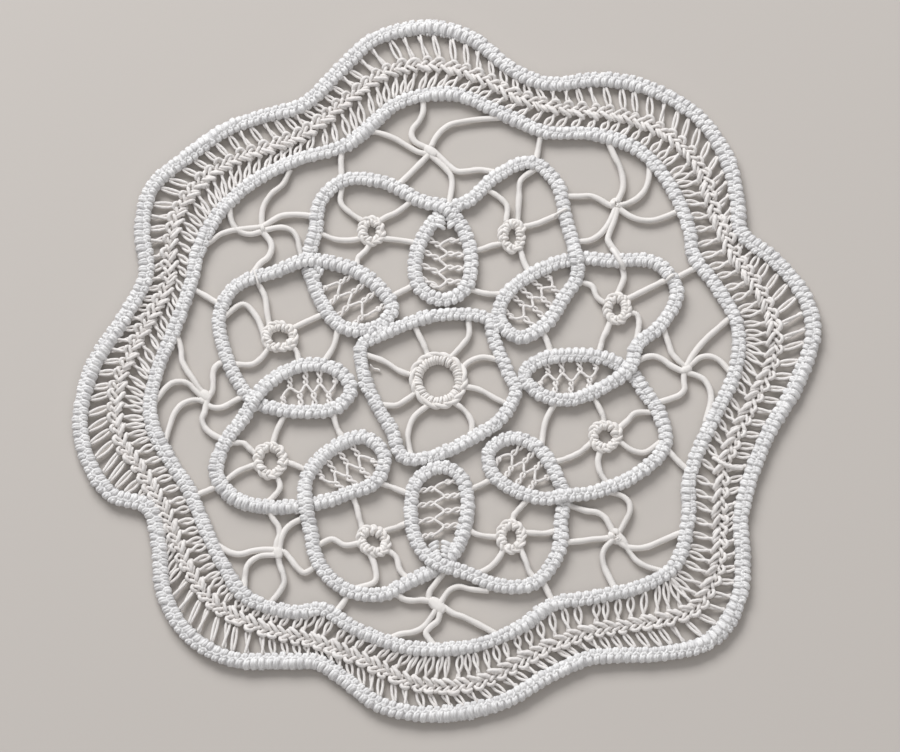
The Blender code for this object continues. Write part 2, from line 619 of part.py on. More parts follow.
    # ties and links
    for k, tie in enumerate(TIES):
        line = stations(tie_line(tie, cords, shift, BAR_WIDTH), False, 0.0080, 34)
        swept("tie_%d" % (k + 1), line, False, sections[0], thread)
    for k, link in enumerate(LINKS):
        line = stations(tie_line(link, cords, shift, BAR_WIDTH), False, 0.0080, 34)
        swept("link_%d" % (k + 1), line, False, sections[0], thread)


main()
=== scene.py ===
import math
from collections import namedtuple

import bpy
import numpy as np
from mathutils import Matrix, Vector


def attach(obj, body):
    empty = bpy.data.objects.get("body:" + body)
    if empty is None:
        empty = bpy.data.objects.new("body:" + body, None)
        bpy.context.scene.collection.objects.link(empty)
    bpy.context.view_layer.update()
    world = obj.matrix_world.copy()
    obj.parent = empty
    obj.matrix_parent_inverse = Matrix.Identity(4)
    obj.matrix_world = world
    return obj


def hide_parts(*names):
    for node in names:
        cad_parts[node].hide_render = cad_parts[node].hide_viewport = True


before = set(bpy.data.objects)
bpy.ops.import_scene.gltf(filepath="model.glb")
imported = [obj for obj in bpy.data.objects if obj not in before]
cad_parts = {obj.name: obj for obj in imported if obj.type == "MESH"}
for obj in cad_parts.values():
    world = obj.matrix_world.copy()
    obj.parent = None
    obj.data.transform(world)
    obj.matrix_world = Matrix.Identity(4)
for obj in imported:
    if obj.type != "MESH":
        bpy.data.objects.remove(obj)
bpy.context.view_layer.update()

# The doily's looks, in metres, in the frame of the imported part.  The tables
# and lay() are those of the part's source, so every cord, bar and ring lies
# where its solid lies: points (u, v) count squares to the right and down on an
# upright sheet in front of the lying doily, which shows it at a slant.

# ---------------------------------------------------------------- sizes
SQUARE = 0.00026
SHEET_MIDDLE = (450.0, 376.0)
SHEET_SLANT = math.radians(18.5)
SHEET_EYE = 1.20
MM = 0.001

CORD_HEIGHT = 0.0029
OUTER_HALF = 0.00215
INNER_HALF = 0.00195
FLOWER_HALF = 0.00196
CENTRE_HALF = 0.00185
BAR_RADIUS = 0.00087
BAR_MIDDLE = 0.00122        # height of a bar's middle above the table

# ---------------------------------------------------------------- tables
# Points are (u, v) squares.  Each cord runs clockwise as seen from above.

Lobe = namedtuple("Lobe", "place valley rise shoulder_1 crown shoulder_2 fall")
OUTER_LOBES = [
    Lobe("top", (303, 105), (343, 67), (373, 40), (428, 28), (471, 39), (517, 73)),
    Lobe("upper right", (548, 84), (600, 80), (650, 89), (698, 117), (727, 160), (738, 203)),
    Lobe("right", (741, 232), (775, 260), (805, 298), (813, 335), (797, 384), (764, 442)),
    Lobe("lower right", (741, 515), (743, 560), (738, 600), (710, 640), (660, 654), (620, 655.5)),
    Lobe("bottom", (590, 658), (550, 675), (500, 703), (440, 715), (380, 705), (341, 677)),
    Lobe("lower left", (318, 663), (280, 662), (230, 659), (185, 631), (163, 590), (159, 545)),
    Lobe("left", (148, 507), (112, 495), (87, 458), (80, 420), (92, 370), (122, 321)),
    Lobe("upper left", (146, 275), (142, 230), (152, 188), (187, 157), (225, 130), (265, 116)),
]

Scallop = namedtuple("Scallop", "place valley rise crown_1 crown_2 fall")
INNER_SCALLOPS = [
    Scallop("top", (345, 146), (365, 132), (400, 102), (455, 95), (510, 118)),
    Scallop("upper right", (545, 132), (590, 134), (640, 151), (672, 189), (689, 228)),
    Scallop("right", (694, 257), (717, 287), (737, 325), (735, 372), (710, 425)),
    Scallop("lower right", (689, 480), (688, 520), (676, 564), (640, 587), (595, 597)),
    Scallop("bottom", (555, 604), (521, 627), (470, 647), (410, 648), (357, 630)),
    Scallop("lower left", (322, 609), (295, 613), (248, 598), (222, 563), (204, 525)),
    Scallop("left", (188, 489), (170, 460), (150, 415), (156, 375), (176, 325)),
    Scallop("upper left", (192, 280), (197, 253), (215, 219), (250, 184), (300, 159)),
]

Petal = namedtuple("Petal", "place foot rise shoulder_1 crown_1 crown_2 fall")
PETALS = [
    Petal("top left", (307, 262), (315, 232), (320, 202), (345, 180), (385, 183), (420, 201)),
    Petal("top right", (446, 210), (470, 200), (495, 177), (530, 162), (556, 182), (566, 220)),
    Petal("right upper", (576, 258), (610, 261), (655, 263), (677, 292), (660, 326), (637, 345)),
    Petal("right lower", (629, 370), (643, 389), (660, 414), (665, 446), (637, 474), (595, 492)),
    Petal("bottom right", (564, 497), (561, 521), (559, 550), (535, 583), (500, 586), (464, 572)),
    Petal("bottom left", (441, 566), (412, 581), (380, 595), (345, 589), (319, 564), (311, 530)),
    Petal("left lower", (306, 505), (270, 508), (235, 499), (216, 475), (224, 444), (244, 418)),
    Petal("left upper", (254, 401), (237, 380), (225, 352), (219, 318), (235, 287), (275, 272)),
]

Teardrop = namedtuple("Teardrop", "place tip side_a1 side_a2 side_a3 end side_b3 side_b2 side_b1")
TEARDROPS = [
    Teardrop("top", (446, 213), (464, 232), (471, 262), (464, 290), (441, 300), (420, 288), (415, 262), (425, 234)),
    Teardrop("upper right", (576, 260), (577, 277), (563, 299), (547, 323), (520, 338), (499, 320), (506, 295), (536, 272)),
    Teardrop("right", (629, 371), (605, 386), (569, 400), (540, 394), (524, 376), (540, 360), (572, 355), (604, 358)),
    Teardrop("lower right", (565, 497), (545, 499), (514, 490), (493, 474), (489, 452), (513, 438), (540, 450), (556, 475)),
    Teardrop("bottom", (440, 564), (420, 548), (411, 515), (417, 481), (440, 467), (461, 477), (468, 508), (459, 545)),
    Teardrop("lower left", (307, 506), (307, 478), (333, 449), (365, 438), (384, 456), (376, 482), (347, 494), (324, 502)),
    Teardrop("left", (253, 399), (275, 378), (308, 365), (338, 371), (351, 390), (336, 408), (306, 412), (275, 409)),
    Teardrop("upper left", (307, 263), (345, 267), (373, 283), (392, 308), (377, 327), (343, 328), (323, 306), (312, 280)),
]

Side = namedtuple("Side", "corner near middle far")
CENTRE_SIDES = [
    Side((362, 345), (384, 334), (422, 319), (458, 314)),
    Side((489, 320), (493, 336), (500, 355), (508, 373)),
    Side((516, 391), (502, 417), (470, 440), (434, 456)),
    Side((404, 458), (391, 430), (374, 400), (362, 368)),
]

# Buttonholed rings: middle, half width, half depth, turn of the oval.
Ring = namedtuple("Ring", "place middle half_u half_v turn_deg")
PETAL_RINGS = [
    Ring("top left", (371.5, 231.5), 9.4, 10.2, 0),
    Ring("top right", (512.3, 236), 8.8, 12.8, 0),
    Ring("right upper", (617, 309), 9.6, 11.4, 0),
    Ring("right lower", (605, 436.5), 11.9, 11.6, 0),
    Ring("bottom right", (511, 537), 10.4, 12.6, 0),
    Ring("bottom left", (373.6, 541.3), 13.4, 10.4, -35),
    Ring("left lower", (270.3, 460.7), 12.5, 14.2, 0),
    Ring("left upper", (279.5, 337), 13.9, 10.9, 0),
]
CENTRE_RING = Ring("centre", (438.5, 380.5), 23.0, 23.0, 0)

# A bar runs from its foot on a cord, past two bends, to its hub.
Bar = namedtuple("Bar", "foot bend_1 bend_2 hub")
PETAL_RING_BARS = [
    [Bar((342, 186), (341, 203), (352, 214), (363, 221)),
     Bar((409, 203), (397, 212), (386, 217), (378, 222)),
     Bar((322, 234), (335, 239), (350, 240), (362, 238)),
     Bar((412, 242), (400, 240), (391, 239), (380, 238)),
     Bar((357, 266), (358, 258), (366, 250), (371, 242))],
    [Bar((488, 190), (499, 197), (507, 206), (506, 222)),
     Bar((537, 168), (521, 180), (519, 198), (518, 222)),
     Bar((563, 213), (552, 217), (538, 223), (521, 227)),
     Bar((528, 270), (524, 262), (521, 252), (518, 244)),
     Bar((474, 251), (484, 248), (493, 245), (503, 243))],
    [Bar((621, 264), (624, 277), (620, 288), (615, 298)),
     Bar((674, 276), (657, 284), (643, 291), (625, 300)),
     Bar((637, 337), (639, 322), (636, 314), (626, 312)),
     Bar((600, 349), (603, 338), (607, 330), (611, 319)),
     Bar((581, 282), (592, 286), (597, 297), (606, 304))],
    [Bar((593, 396), (599, 407), (603, 416), (604, 425)),
     Bar((652, 412), (635, 413), (627, 421), (616, 431)),
     Bar((660, 442), (645, 452), (632, 450), (616, 438)),
     Bar((608, 484), (601, 474), (598, 461), (602, 446)),
     Bar((554, 462), (570, 457), (580, 452), (592, 442))],
    [Bar((527, 500), (519, 509), (514, 515), (512, 525)),
     Bar((556, 531), (545, 533), (535, 533), (522, 532)),
     Bar((466, 526), (474, 533), (486, 536), (502, 537)),
     Bar((479, 573), (490, 567), (498, 559), (505, 547)),
     Bar((536, 580), (529, 571), (526, 562), (520, 547))],
    [Bar((353, 497), (357, 508), (359, 517), (363, 531)),
     Bar((407, 523), (397, 527), (390, 529), (379, 533)),
     Bar((320, 544), (332, 539), (345, 545), (363, 542)),
     Bar((357, 588), (375, 581), (375, 567), (367, 547)),
     Bar((407, 578), (400, 570), (396, 557), (385, 548))],
    [Bar((283, 418), (277, 430), (274, 439), (272, 448)),
     Bar((230, 443), (243, 443), (250, 449), (258, 456)),
     Bar((218, 488), (230, 477), (240, 470), (257, 464)),
     Bar((310, 472), (300, 467), (290, 463), (281, 461)),
     Bar((265, 504), (274, 496), (280, 487), (274, 470))],
    [Bar((258, 283), (265, 297), (267, 312), (270, 328)),
     Bar((225, 316), (243, 304), (256, 316), (265, 338)),
     Bar((235, 364), (252, 364), (261, 358), (270, 346)),
     Bar((323, 314), (312, 319), (303, 323), (291, 329)),
     Bar((299, 364), (298, 356), (295, 349), (290, 345))],
]
CENTRE_RING_BARS = [
    Bar((413, 322), (419, 335), (424, 345), (429, 359)),
    Bar((468, 318), (469, 335), (463, 344), (449, 359)),
    Bar((496, 359), (482, 357), (470, 361), (459, 371)),
    Bar((510, 405), (495, 398), (478, 389), (461, 386)),
    Bar((469, 440), (472, 424), (465, 411), (451, 400)),
    Bar((411, 456), (408, 434), (414, 417), (431, 403)),
    Bar((378, 404), (396, 405), (407, 399), (419, 390)),
    Bar((364, 354), (384, 361), (400, 371), (416, 376)),
]

# Spiders: six legs meet in a knot in each gap outside the flower.  The knot
# is an oval: its middle, half length, half width, slant of its length, and
# how it is made.
Spider = namedtuple("Spider", "place middle long wide slant made legs")
SPIDERS = [
    Spider("top", (430.5, 151.5), 7.5, 5.0, -40, "satin", [
        [(367, 130), (380, 133), (394, 138), (407.5, 146), (419, 152), (430, 154)],
        [(423, 100), (423, 112), (419, 121), (413, 128.5), (411.5, 135), (415, 141.5), (424, 146.5), (430, 149)],
        [(497, 118), (480, 119), (464.5, 121), (451, 124), (442, 130), (435.5, 138), (431, 147)],
        [(399, 184), (408, 175.5), (415.5, 168), (423, 160.5), (430, 153)],
        [(448, 206), (451, 193), (452, 182), (450.5, 175), (446, 169), (438, 161.5), (430, 155)],
        [(495, 172), (480, 169.5), (466.5, 171), (457, 171), (449.5, 166), (441.5, 158.5), (434, 151.5), (428, 147)]]),
    Spider("upper right", (616, 204), 5.5, 4.5, -60, "woven", [
        [(562, 196), (580, 196), (590, 195.5), (599, 199), (607.5, 204), (615, 207)],
        [(607, 138), (614, 155), (620, 167.5), (623, 180), (622.5, 190), (617, 202)],
        [(650, 163), (648.5, 180), (644, 191), (636, 199), (627.5, 203), (617, 206)],
        [(681, 209.5), (665, 216.5), (652.5, 220), (640, 219.5), (630, 216), (618, 208)],
        [(576, 241.5), (590, 240), (599, 235), (606, 227.5), (611, 219), (616, 207)],
        [(621, 258), (612, 247), (608, 239.5), (610, 231), (613.5, 222), (618, 208)]]),
    Spider("right", (686, 370), 6.0, 4.5, 30, "satin", [
        [(664, 330), (669, 344.5), (672, 353), (678, 360), (687, 368)],
        [(731, 317), (717, 329), (707, 338), (698, 348), (692, 356.5), (686, 368)],
        [(731, 373), (719, 360), (710, 356), (701, 357), (694.5, 361.5), (685, 370)],
        [(706, 420), (711, 402), (710, 390), (704.5, 380), (697, 375.5), (686, 372)],
        [(656, 403), (672, 398), (680, 394.5), (684.5, 389), (684, 382), (684, 371)],
        [(632, 364.5), (644.5, 357.5), (653.5, 356), (662, 359), (671, 365.5), (684, 372)]]),
    Spider("lower right", (615.5, 536), 7.0, 5.5, -60, "woven", [
        [(610, 492), (622.5, 496), (629, 502.5), (630, 511), (626, 520), (619, 533)],
        [(566, 504), (585, 510.5), (597.5, 512.5), (605, 517.5), (609.5, 525), (614, 534)],
        [(562, 542.5), (580, 541), (592.5, 539), (607, 538), (616, 536)],
        [(684, 531.5), (669, 537.5), (657.5, 542.5), (646, 547), (635, 548), (626, 546.5), (616, 539)],
        [(674, 575), (657.5, 569.5), (646, 566), (636, 560), (629, 551), (624, 541), (617, 533)],
        [(617, 593), (610, 579), (604, 566), (602.5, 556), (605, 548), (614, 539)]]),
    Spider("bottom", (437.5, 605.5), 9.5, 6.5, -40, "satin", [
        [(444, 572), (435, 584), (430, 591), (429, 599), (432, 605), (438, 610)],
        [(391, 590), (404, 599), (412.5, 600.5), (422.5, 600), (436, 602)],
        [(486, 590.5), (470, 589), (459, 586.5), (451, 589), (446, 594), (440, 604)],
        [(503, 638), (487.5, 629), (475, 622.5), (462.5, 616.5), (452.5, 613), (440, 604)],
        [(385, 641), (400, 634), (412.5, 632), (422.5, 627.5), (429, 620), (437, 608)],
        [(438, 650), (429, 639), (426, 632.5), (430, 627), (438, 620), (440, 608)]]),
    Spider("lower left", (278, 553.5), 6.0, 5.0, -70, "satin", [
        [(267, 506), (273, 518.5), (278, 526), (279.5, 534), (277, 542), (276, 553)],
        [(304, 518), (293, 523), (286, 529), (282, 536), (280, 544), (279, 554)],
        [(316, 566), (304, 572.5), (297, 567.5), (290.5, 559), (284, 552), (278, 551)],
        [(217, 545), (230.5, 552.5), (240.5, 554), (252, 551), (264, 549.5), (278, 550)],
        [(244, 590), (245, 575), (247, 566), (253, 559.5), (262, 555.5), (277, 555)],
        [(269, 604), (279, 592.5), (284, 582.5), (283, 574), (279.5, 564), (278, 553)]]),
    Spider("left", (205.5, 396), 6.5, 5.5, -45, "satin", [
        [(176, 333), (181, 349), (182, 360.5), (187, 370.5), (193, 379), (199, 388), (206, 396)],
        [(156, 400), (165.5, 388), (173, 382.5), (182, 381.5), (189, 384), (195, 390), (204, 398)],
        [(164, 446), (170, 425), (174.5, 413), (182, 404), (192, 400), (199, 400), (205, 402)],
        [(225, 361), (216, 366), (213, 374), (213, 383), (212, 391.5), (206, 399)],
        [(247, 394), (232, 402), (222, 407), (212, 407), (205, 402.5), (199, 399)],
        [(227, 441), (212, 434), (204.5, 427), (202, 419), (204.5, 412), (207, 400)]]),
    Spider("upper left", (262.5, 229), 5.0, 3.5, -80, "bound", [
        [(289, 172), (283, 184), (272, 193), (264.5, 204), (262, 213), (262, 229)],
        [(229, 205), (231, 219), (234.5, 227), (241, 232), (250, 234), (262, 231.5)],
        [(201, 248), (212, 240), (220.5, 234), (231, 230.5), (242, 229), (262, 227)],
        [(316, 216.5), (300.5, 214.5), (289.5, 214.5), (280.5, 216), (273, 220), (262, 227)],
        [(301.5, 260), (299, 247), (297, 238), (292.5, 231), (285, 227.5), (276, 227.5), (262, 231)],
        [(253, 273), (260.5, 263), (268, 257), (271.5, 249), (270.5, 242), (262, 231)]]),
]

# Ties from the flower to the inner border, links between teardrops.
Tie = namedtuple("Tie", "start middle end")
TIES = [
    Tie((342, 180), (341, 162), (342, 145)), Tie((535, 166), (538, 150), (541, 133)),
    Tie((674, 279), (687, 272), (700, 266)), Tie((664, 445), (677, 460), (690, 472)),
    Tie((540, 576), (547, 590), (554, 604)), Tie((350, 590), (343, 603), (334, 614)),
    Tie((220, 485), (206, 491), (190, 497)), Tie((219, 304), (204, 295), (190, 287)),
]
LINKS = [
    Tie((390, 297), (402, 291), (416, 284)), Tie((467, 288), (484, 293), (504, 294)),
    Tie((541, 328), (547, 341), (552, 356)), Tie((557, 400), (546, 420), (541, 449)),
    Tie((496, 477), (482, 484), (466, 491)), Tie((412, 495), (394, 488), (376, 481)),
    Tie((346, 442), (338, 430), (332, 410)), Tie((338, 327), (334, 345), (321, 366)),
]



# The braided spine of the insertion, lobe by lobe.
Spine = namedtuple("Spine", "place valley rise crown_1 crown_2 fall")
SPINE = [
    Spine("top", (303, 130), (345, 98), (388, 69), (440, 64), (487, 79)),
    Spine("upper right", (520, 97), (562, 108), (612, 113), (660, 129), (700, 166)),
    Spine("right", (717, 215), (736, 255), (769, 304), (777, 352), (752, 410)),
    Spine("lower right", (729, 461), (723, 510), (721, 560), (697, 609), (640, 626)),
    Spine("bottom", (590, 633), (540, 652), (480, 682), (420, 685), (365, 661)),
    Spine("lower left", (312, 641), (262, 630), (211, 604), (180, 558), (163, 515)),
    Spine("left", (141, 476), (116, 436), (115, 385), (140, 330), (164, 286)),
    Spine("upper left", (168, 241), (176, 211), (196, 182), (228, 159), (265, 145)),
]

# Stitches of the insertion, a row for each lobe of its spine: how far the
# spine strays outwards, then for the inner and the outer threads the space
# from one pair to the next and how far back along its cord a pair is
# fastened, all in squares and holding where the lobe begins.
Stretch = namedtuple("Stretch", "place stray inner_gap inner_back outer_gap outer_back")
STRETCHES = [
    Stretch("top", -4, 11, 10, 12, 4), Stretch("upper right", -1, 13, 7, 14, 6),
    Stretch("right", -2, 12, 4, 12, 6), Stretch("lower right", -4, 13, 7, 13, 4),
    Stretch("bottom", -2, 13, 0, 12, 8), Stretch("lower left", 0, 11, 5, 12, 6),
    Stretch("left", -4, 11, 3, 11, 5), Stretch("upper left", -3, 12, 9, 12, 6),
]

# Net fillings, worked from the teardrop's neck to its toe: stitches, the side
# of the first (1 is anticlockwise of the way to the toe), how far the nodes
# swing to each side, and how far ahead of its node a pair is fastened on the
# first side and on the other, in squares.
Net = namedtuple("Net", "place stitches first swing lean other_lean")
NETS = [
    Net("top", 8, 1, 4, 1, -8), Net("upper right", 9, -1, 3.5, 0, 1),
    Net("right", 8, -1, 3.5, 1, 2), Net("lower right", 8, -1, 4, -3, 0),
    Net("bottom", 8, 1, 4.5, -3, 2), Net("lower left", 8, 1, 5, 2, 1),
    Net("left", 8, -1, 4, 0, 1), Net("upper left", 8, -1, 5.5, -2, 5),
]

# Where a bar's thread is carried over a cord: foot outside, foot inside.
OVERS = [((254, 272), (258, 285), 0.00024), ((614, 253), (622, 266), 0.00070),
         ((566, 211), (557, 216), 0.00040), ((673, 277), (668, 281), 0.00048)]
TAIL = [(370, 365), (374, 368), (378, 368.5), (380.5, 371)]

# Where a teardrop's cord is stitched together at its neck: from, to, and how
# far the stitches reach to each side there, in squares of the sheet.
NECKS = [[((445.5, 217), (446.5, 229), 6.5, 11.5)], [], [], [], [((440.5, 558), (440, 543), 6.0, 11.5)], [],
         [], [((312, 268), (321, 277), 5.0, 6.5)]]


# ---------------------------------------------------------------- layout
def lay(point):
    """Plan position, in metres, of a point of the sheet."""
    across = (point[0] - SHEET_MIDDLE[0]) * SQUARE
    up = (SHEET_MIDDLE[1] - point[1]) * SQUARE
    grow = 1.0 / (1.0 - math.tan(SHEET_SLANT) / SHEET_EYE * up)
    return np.array([grow * across, grow * up / math.cos(SHEET_SLANT)])


def smooth(points, closed, step=0.0004):
    """Centripetal spline through the points, evenly stepped."""
    pts = [np.asarray(p, float) for p in points]
    if not closed:
        pts = [2 * pts[0] - pts[1]] + pts + [2 * pts[-1] - pts[-2]]
        spans = range(1, len(pts) - 2)
    else:
        spans = range(len(pts))
    n = len(pts)
    out = []
    for i in spans:
        p0, p1, p2, p3 = pts[(i - 1) % n], pts[i], pts[(i + 1) % n], pts[(i + 2) % n]
        t0 = 0.0
        t1 = t0 + math.sqrt(np.linalg.norm(p1 - p0))
        t2 = t1 + math.sqrt(np.linalg.norm(p2 - p1))
        t3 = t2 + math.sqrt(np.linalg.norm(p3 - p2))
        t = np.linspace(t1, t2, 24, endpoint=False)[:, None]
        a1 = (t1 - t) / (t1 - t0) * p0 + (t - t0) / (t1 - t0) * p1
        a2 = (t2 - t) / (t2 - t1) * p1 + (t - t1) / (t2 - t1) * p2
        a3 = (t3 - t) / (t3 - t2) * p2 + (t - t2) / (t3 - t2) * p3
        b1 = (t2 - t) / (t2 - t0) * a1 + (t - t0) / (t2 - t0) * a2
        b2 = (t3 - t) / (t3 - t1) * a2 + (t - t1) / (t3 - t1) * a3
        out.append((t2 - t) / (t2 - t1) * b1 + (t - t1) / (t2 - t1) * b2)
    line = np.vstack(out)
    if not closed:
        line = np.vstack([line, pts[-2]])
    return respace(line, closed, step)


def respace(line, closed, step):
    """The same line with points an even step apart."""
    ends = np.vstack([line, line[:1]]) if closed else line
    run = np.concatenate([[0], np.cumsum(np.linalg.norm(np.diff(ends, axis=0), axis=1))])
    count = max(3, int(round(run[-1] / step)))
    at = np.linspace(0, run[-1], count + 1)
    if closed:
        at = at[:-1]
    return np.column_stack([np.interp(at, run, ends[:, k]) for k in (0, 1)])


def nearest(points, line, closed):
    """Distance from each point to a line, and the nearest place on it."""
    a = line
    b = np.roll(line, -1, axis=0)
    if not closed:
        a, b = line[:-1], line[1:]
    ab = b - a
    size = (ab ** 2).sum(1) + 1e-18
    t = ((points[:, None, :] - a[None]) * ab[None]).sum(2) / size[None]
    foot = a[None] + np.clip(t, 0, 1)[..., None] * ab[None]
    away = np.linalg.norm(points[:, None, :] - foot, axis=2)
    k = away.argmin(axis=1)
    rows = np.arange(len(points))
    return away[rows, k], foot[rows, k]


def ease(line, least_radius, step=0.0004, keep_off=()):
    """Open out bends tighter than a cord can take, and move the line off its
    neighbours: keep_off holds (neighbour line, least distance)."""
    for _ in range(90):
        before, after = np.roll(line, 1, axis=0), np.roll(line, -1, axis=0)
        middle = (before + after) / 2
        bend = np.linalg.norm(middle - line, axis=1) * 2 / step ** 2
        tight = np.clip(bend * least_radius, 0.9, 2.0) - 0.9
        line = line + (middle - line) * np.clip(tight * 2.0, 0, 0.9)[:, None]
        for other, least in keep_off:
            away, foot = nearest(line, other, True)
            near = away < least
            if near.any():
                push = (line - foot) / np.maximum(away, 1e-9)[:, None]
                line = line + np.where(near, (least - away) * 0.7, 0)[:, None] * push
        line = respace(line, True, step)
    return line




def spread(table, count):
    """Columns of a short table, smoothly filled in to count rows."""
    rows = np.array([list(r) for r in table], float)
    rows = np.vstack([2 * rows[0] - rows[1], rows, 2 * rows[-1] - rows[-2]])
    at = np.linspace(0, len(rows) - 3, count)
    k = np.minimum(at.astype(int), len(rows) - 4)
    f = (at - k)[:, None]
    a, b, c, d = rows[k], rows[k + 1], rows[k + 2], rows[k + 3]
    return 0.5 * (2 * b + (c - a) * f + (2 * a - 5 * b + 4 * c - d) * f ** 2
                  + (3 * b - a - 3 * c + d) * f ** 3)


class Way:
    """A line on the plan that can be asked for its place and its left-hand
    side at any distance along it."""

    def __init__(self, line, closed):
        self.closed = closed
        if closed:
            before, after = np.roll(line, 1, axis=0), np.roll(line, -1, axis=0)
            along = after - before
            line = np.vstack([line, line[:1]])
            along = np.vstack([along, along[:1]])
        else:
            along = np.gradient(line, axis=0)
        self.points = line
        self.along = along / np.linalg.norm(along, axis=1)[:, None]
        self.run = np.concatenate([[0], np.cumsum(np.linalg.norm(np.diff(line, axis=0), axis=1))])
        self.length = float(self.run[-1])

    def _where(self, s):
        return np.mod(s, self.length) if self.closed else np.clip(s, 0, self.length)

    def at(self, s):
        s = self._where(s)
        return np.stack([np.interp(s, self.run, self.points[:, k]) for k in (0, 1)], -1)

    def heading(self, s):
        s = self._where(s)
        v = np.stack([np.interp(s, self.run, self.along[:, k]) for k in (0, 1)], -1)
        return v / np.maximum(np.linalg.norm(v, axis=-1, keepdims=True), 1e-9)

    def side(self, s):
        v = self.heading(s)
        return np.stack([-v[..., 1], v[..., 0]], -1)

    def place(self, s, across, up):
        """Points in space: distance along, offset to the left, height."""
        flat = self.at(s) + self.side(s) * np.asarray(across)[..., None]
        return np.concatenate([flat, np.broadcast_to(np.asarray(up, float), flat.shape[:-1])[..., None]], -1)

    def nearest_run(self, points):
        """Distance along the line of the place nearest each point."""
        away = np.linalg.norm(np.asarray(points)[:, None] - self.points[None, :-1 if self.closed else None], axis=2)
        return self.run[away.argmin(axis=1)]


def slow(rng, s, length, size, waves):
    """A gentle unevenness that closes on itself after length."""
    out = np.zeros_like(s)
    for n in waves:
        out = out + rng.normal() * np.sin(2 * math.pi * (n * s / length + rng.random()))
    return out * size / math.sqrt(len(waves))


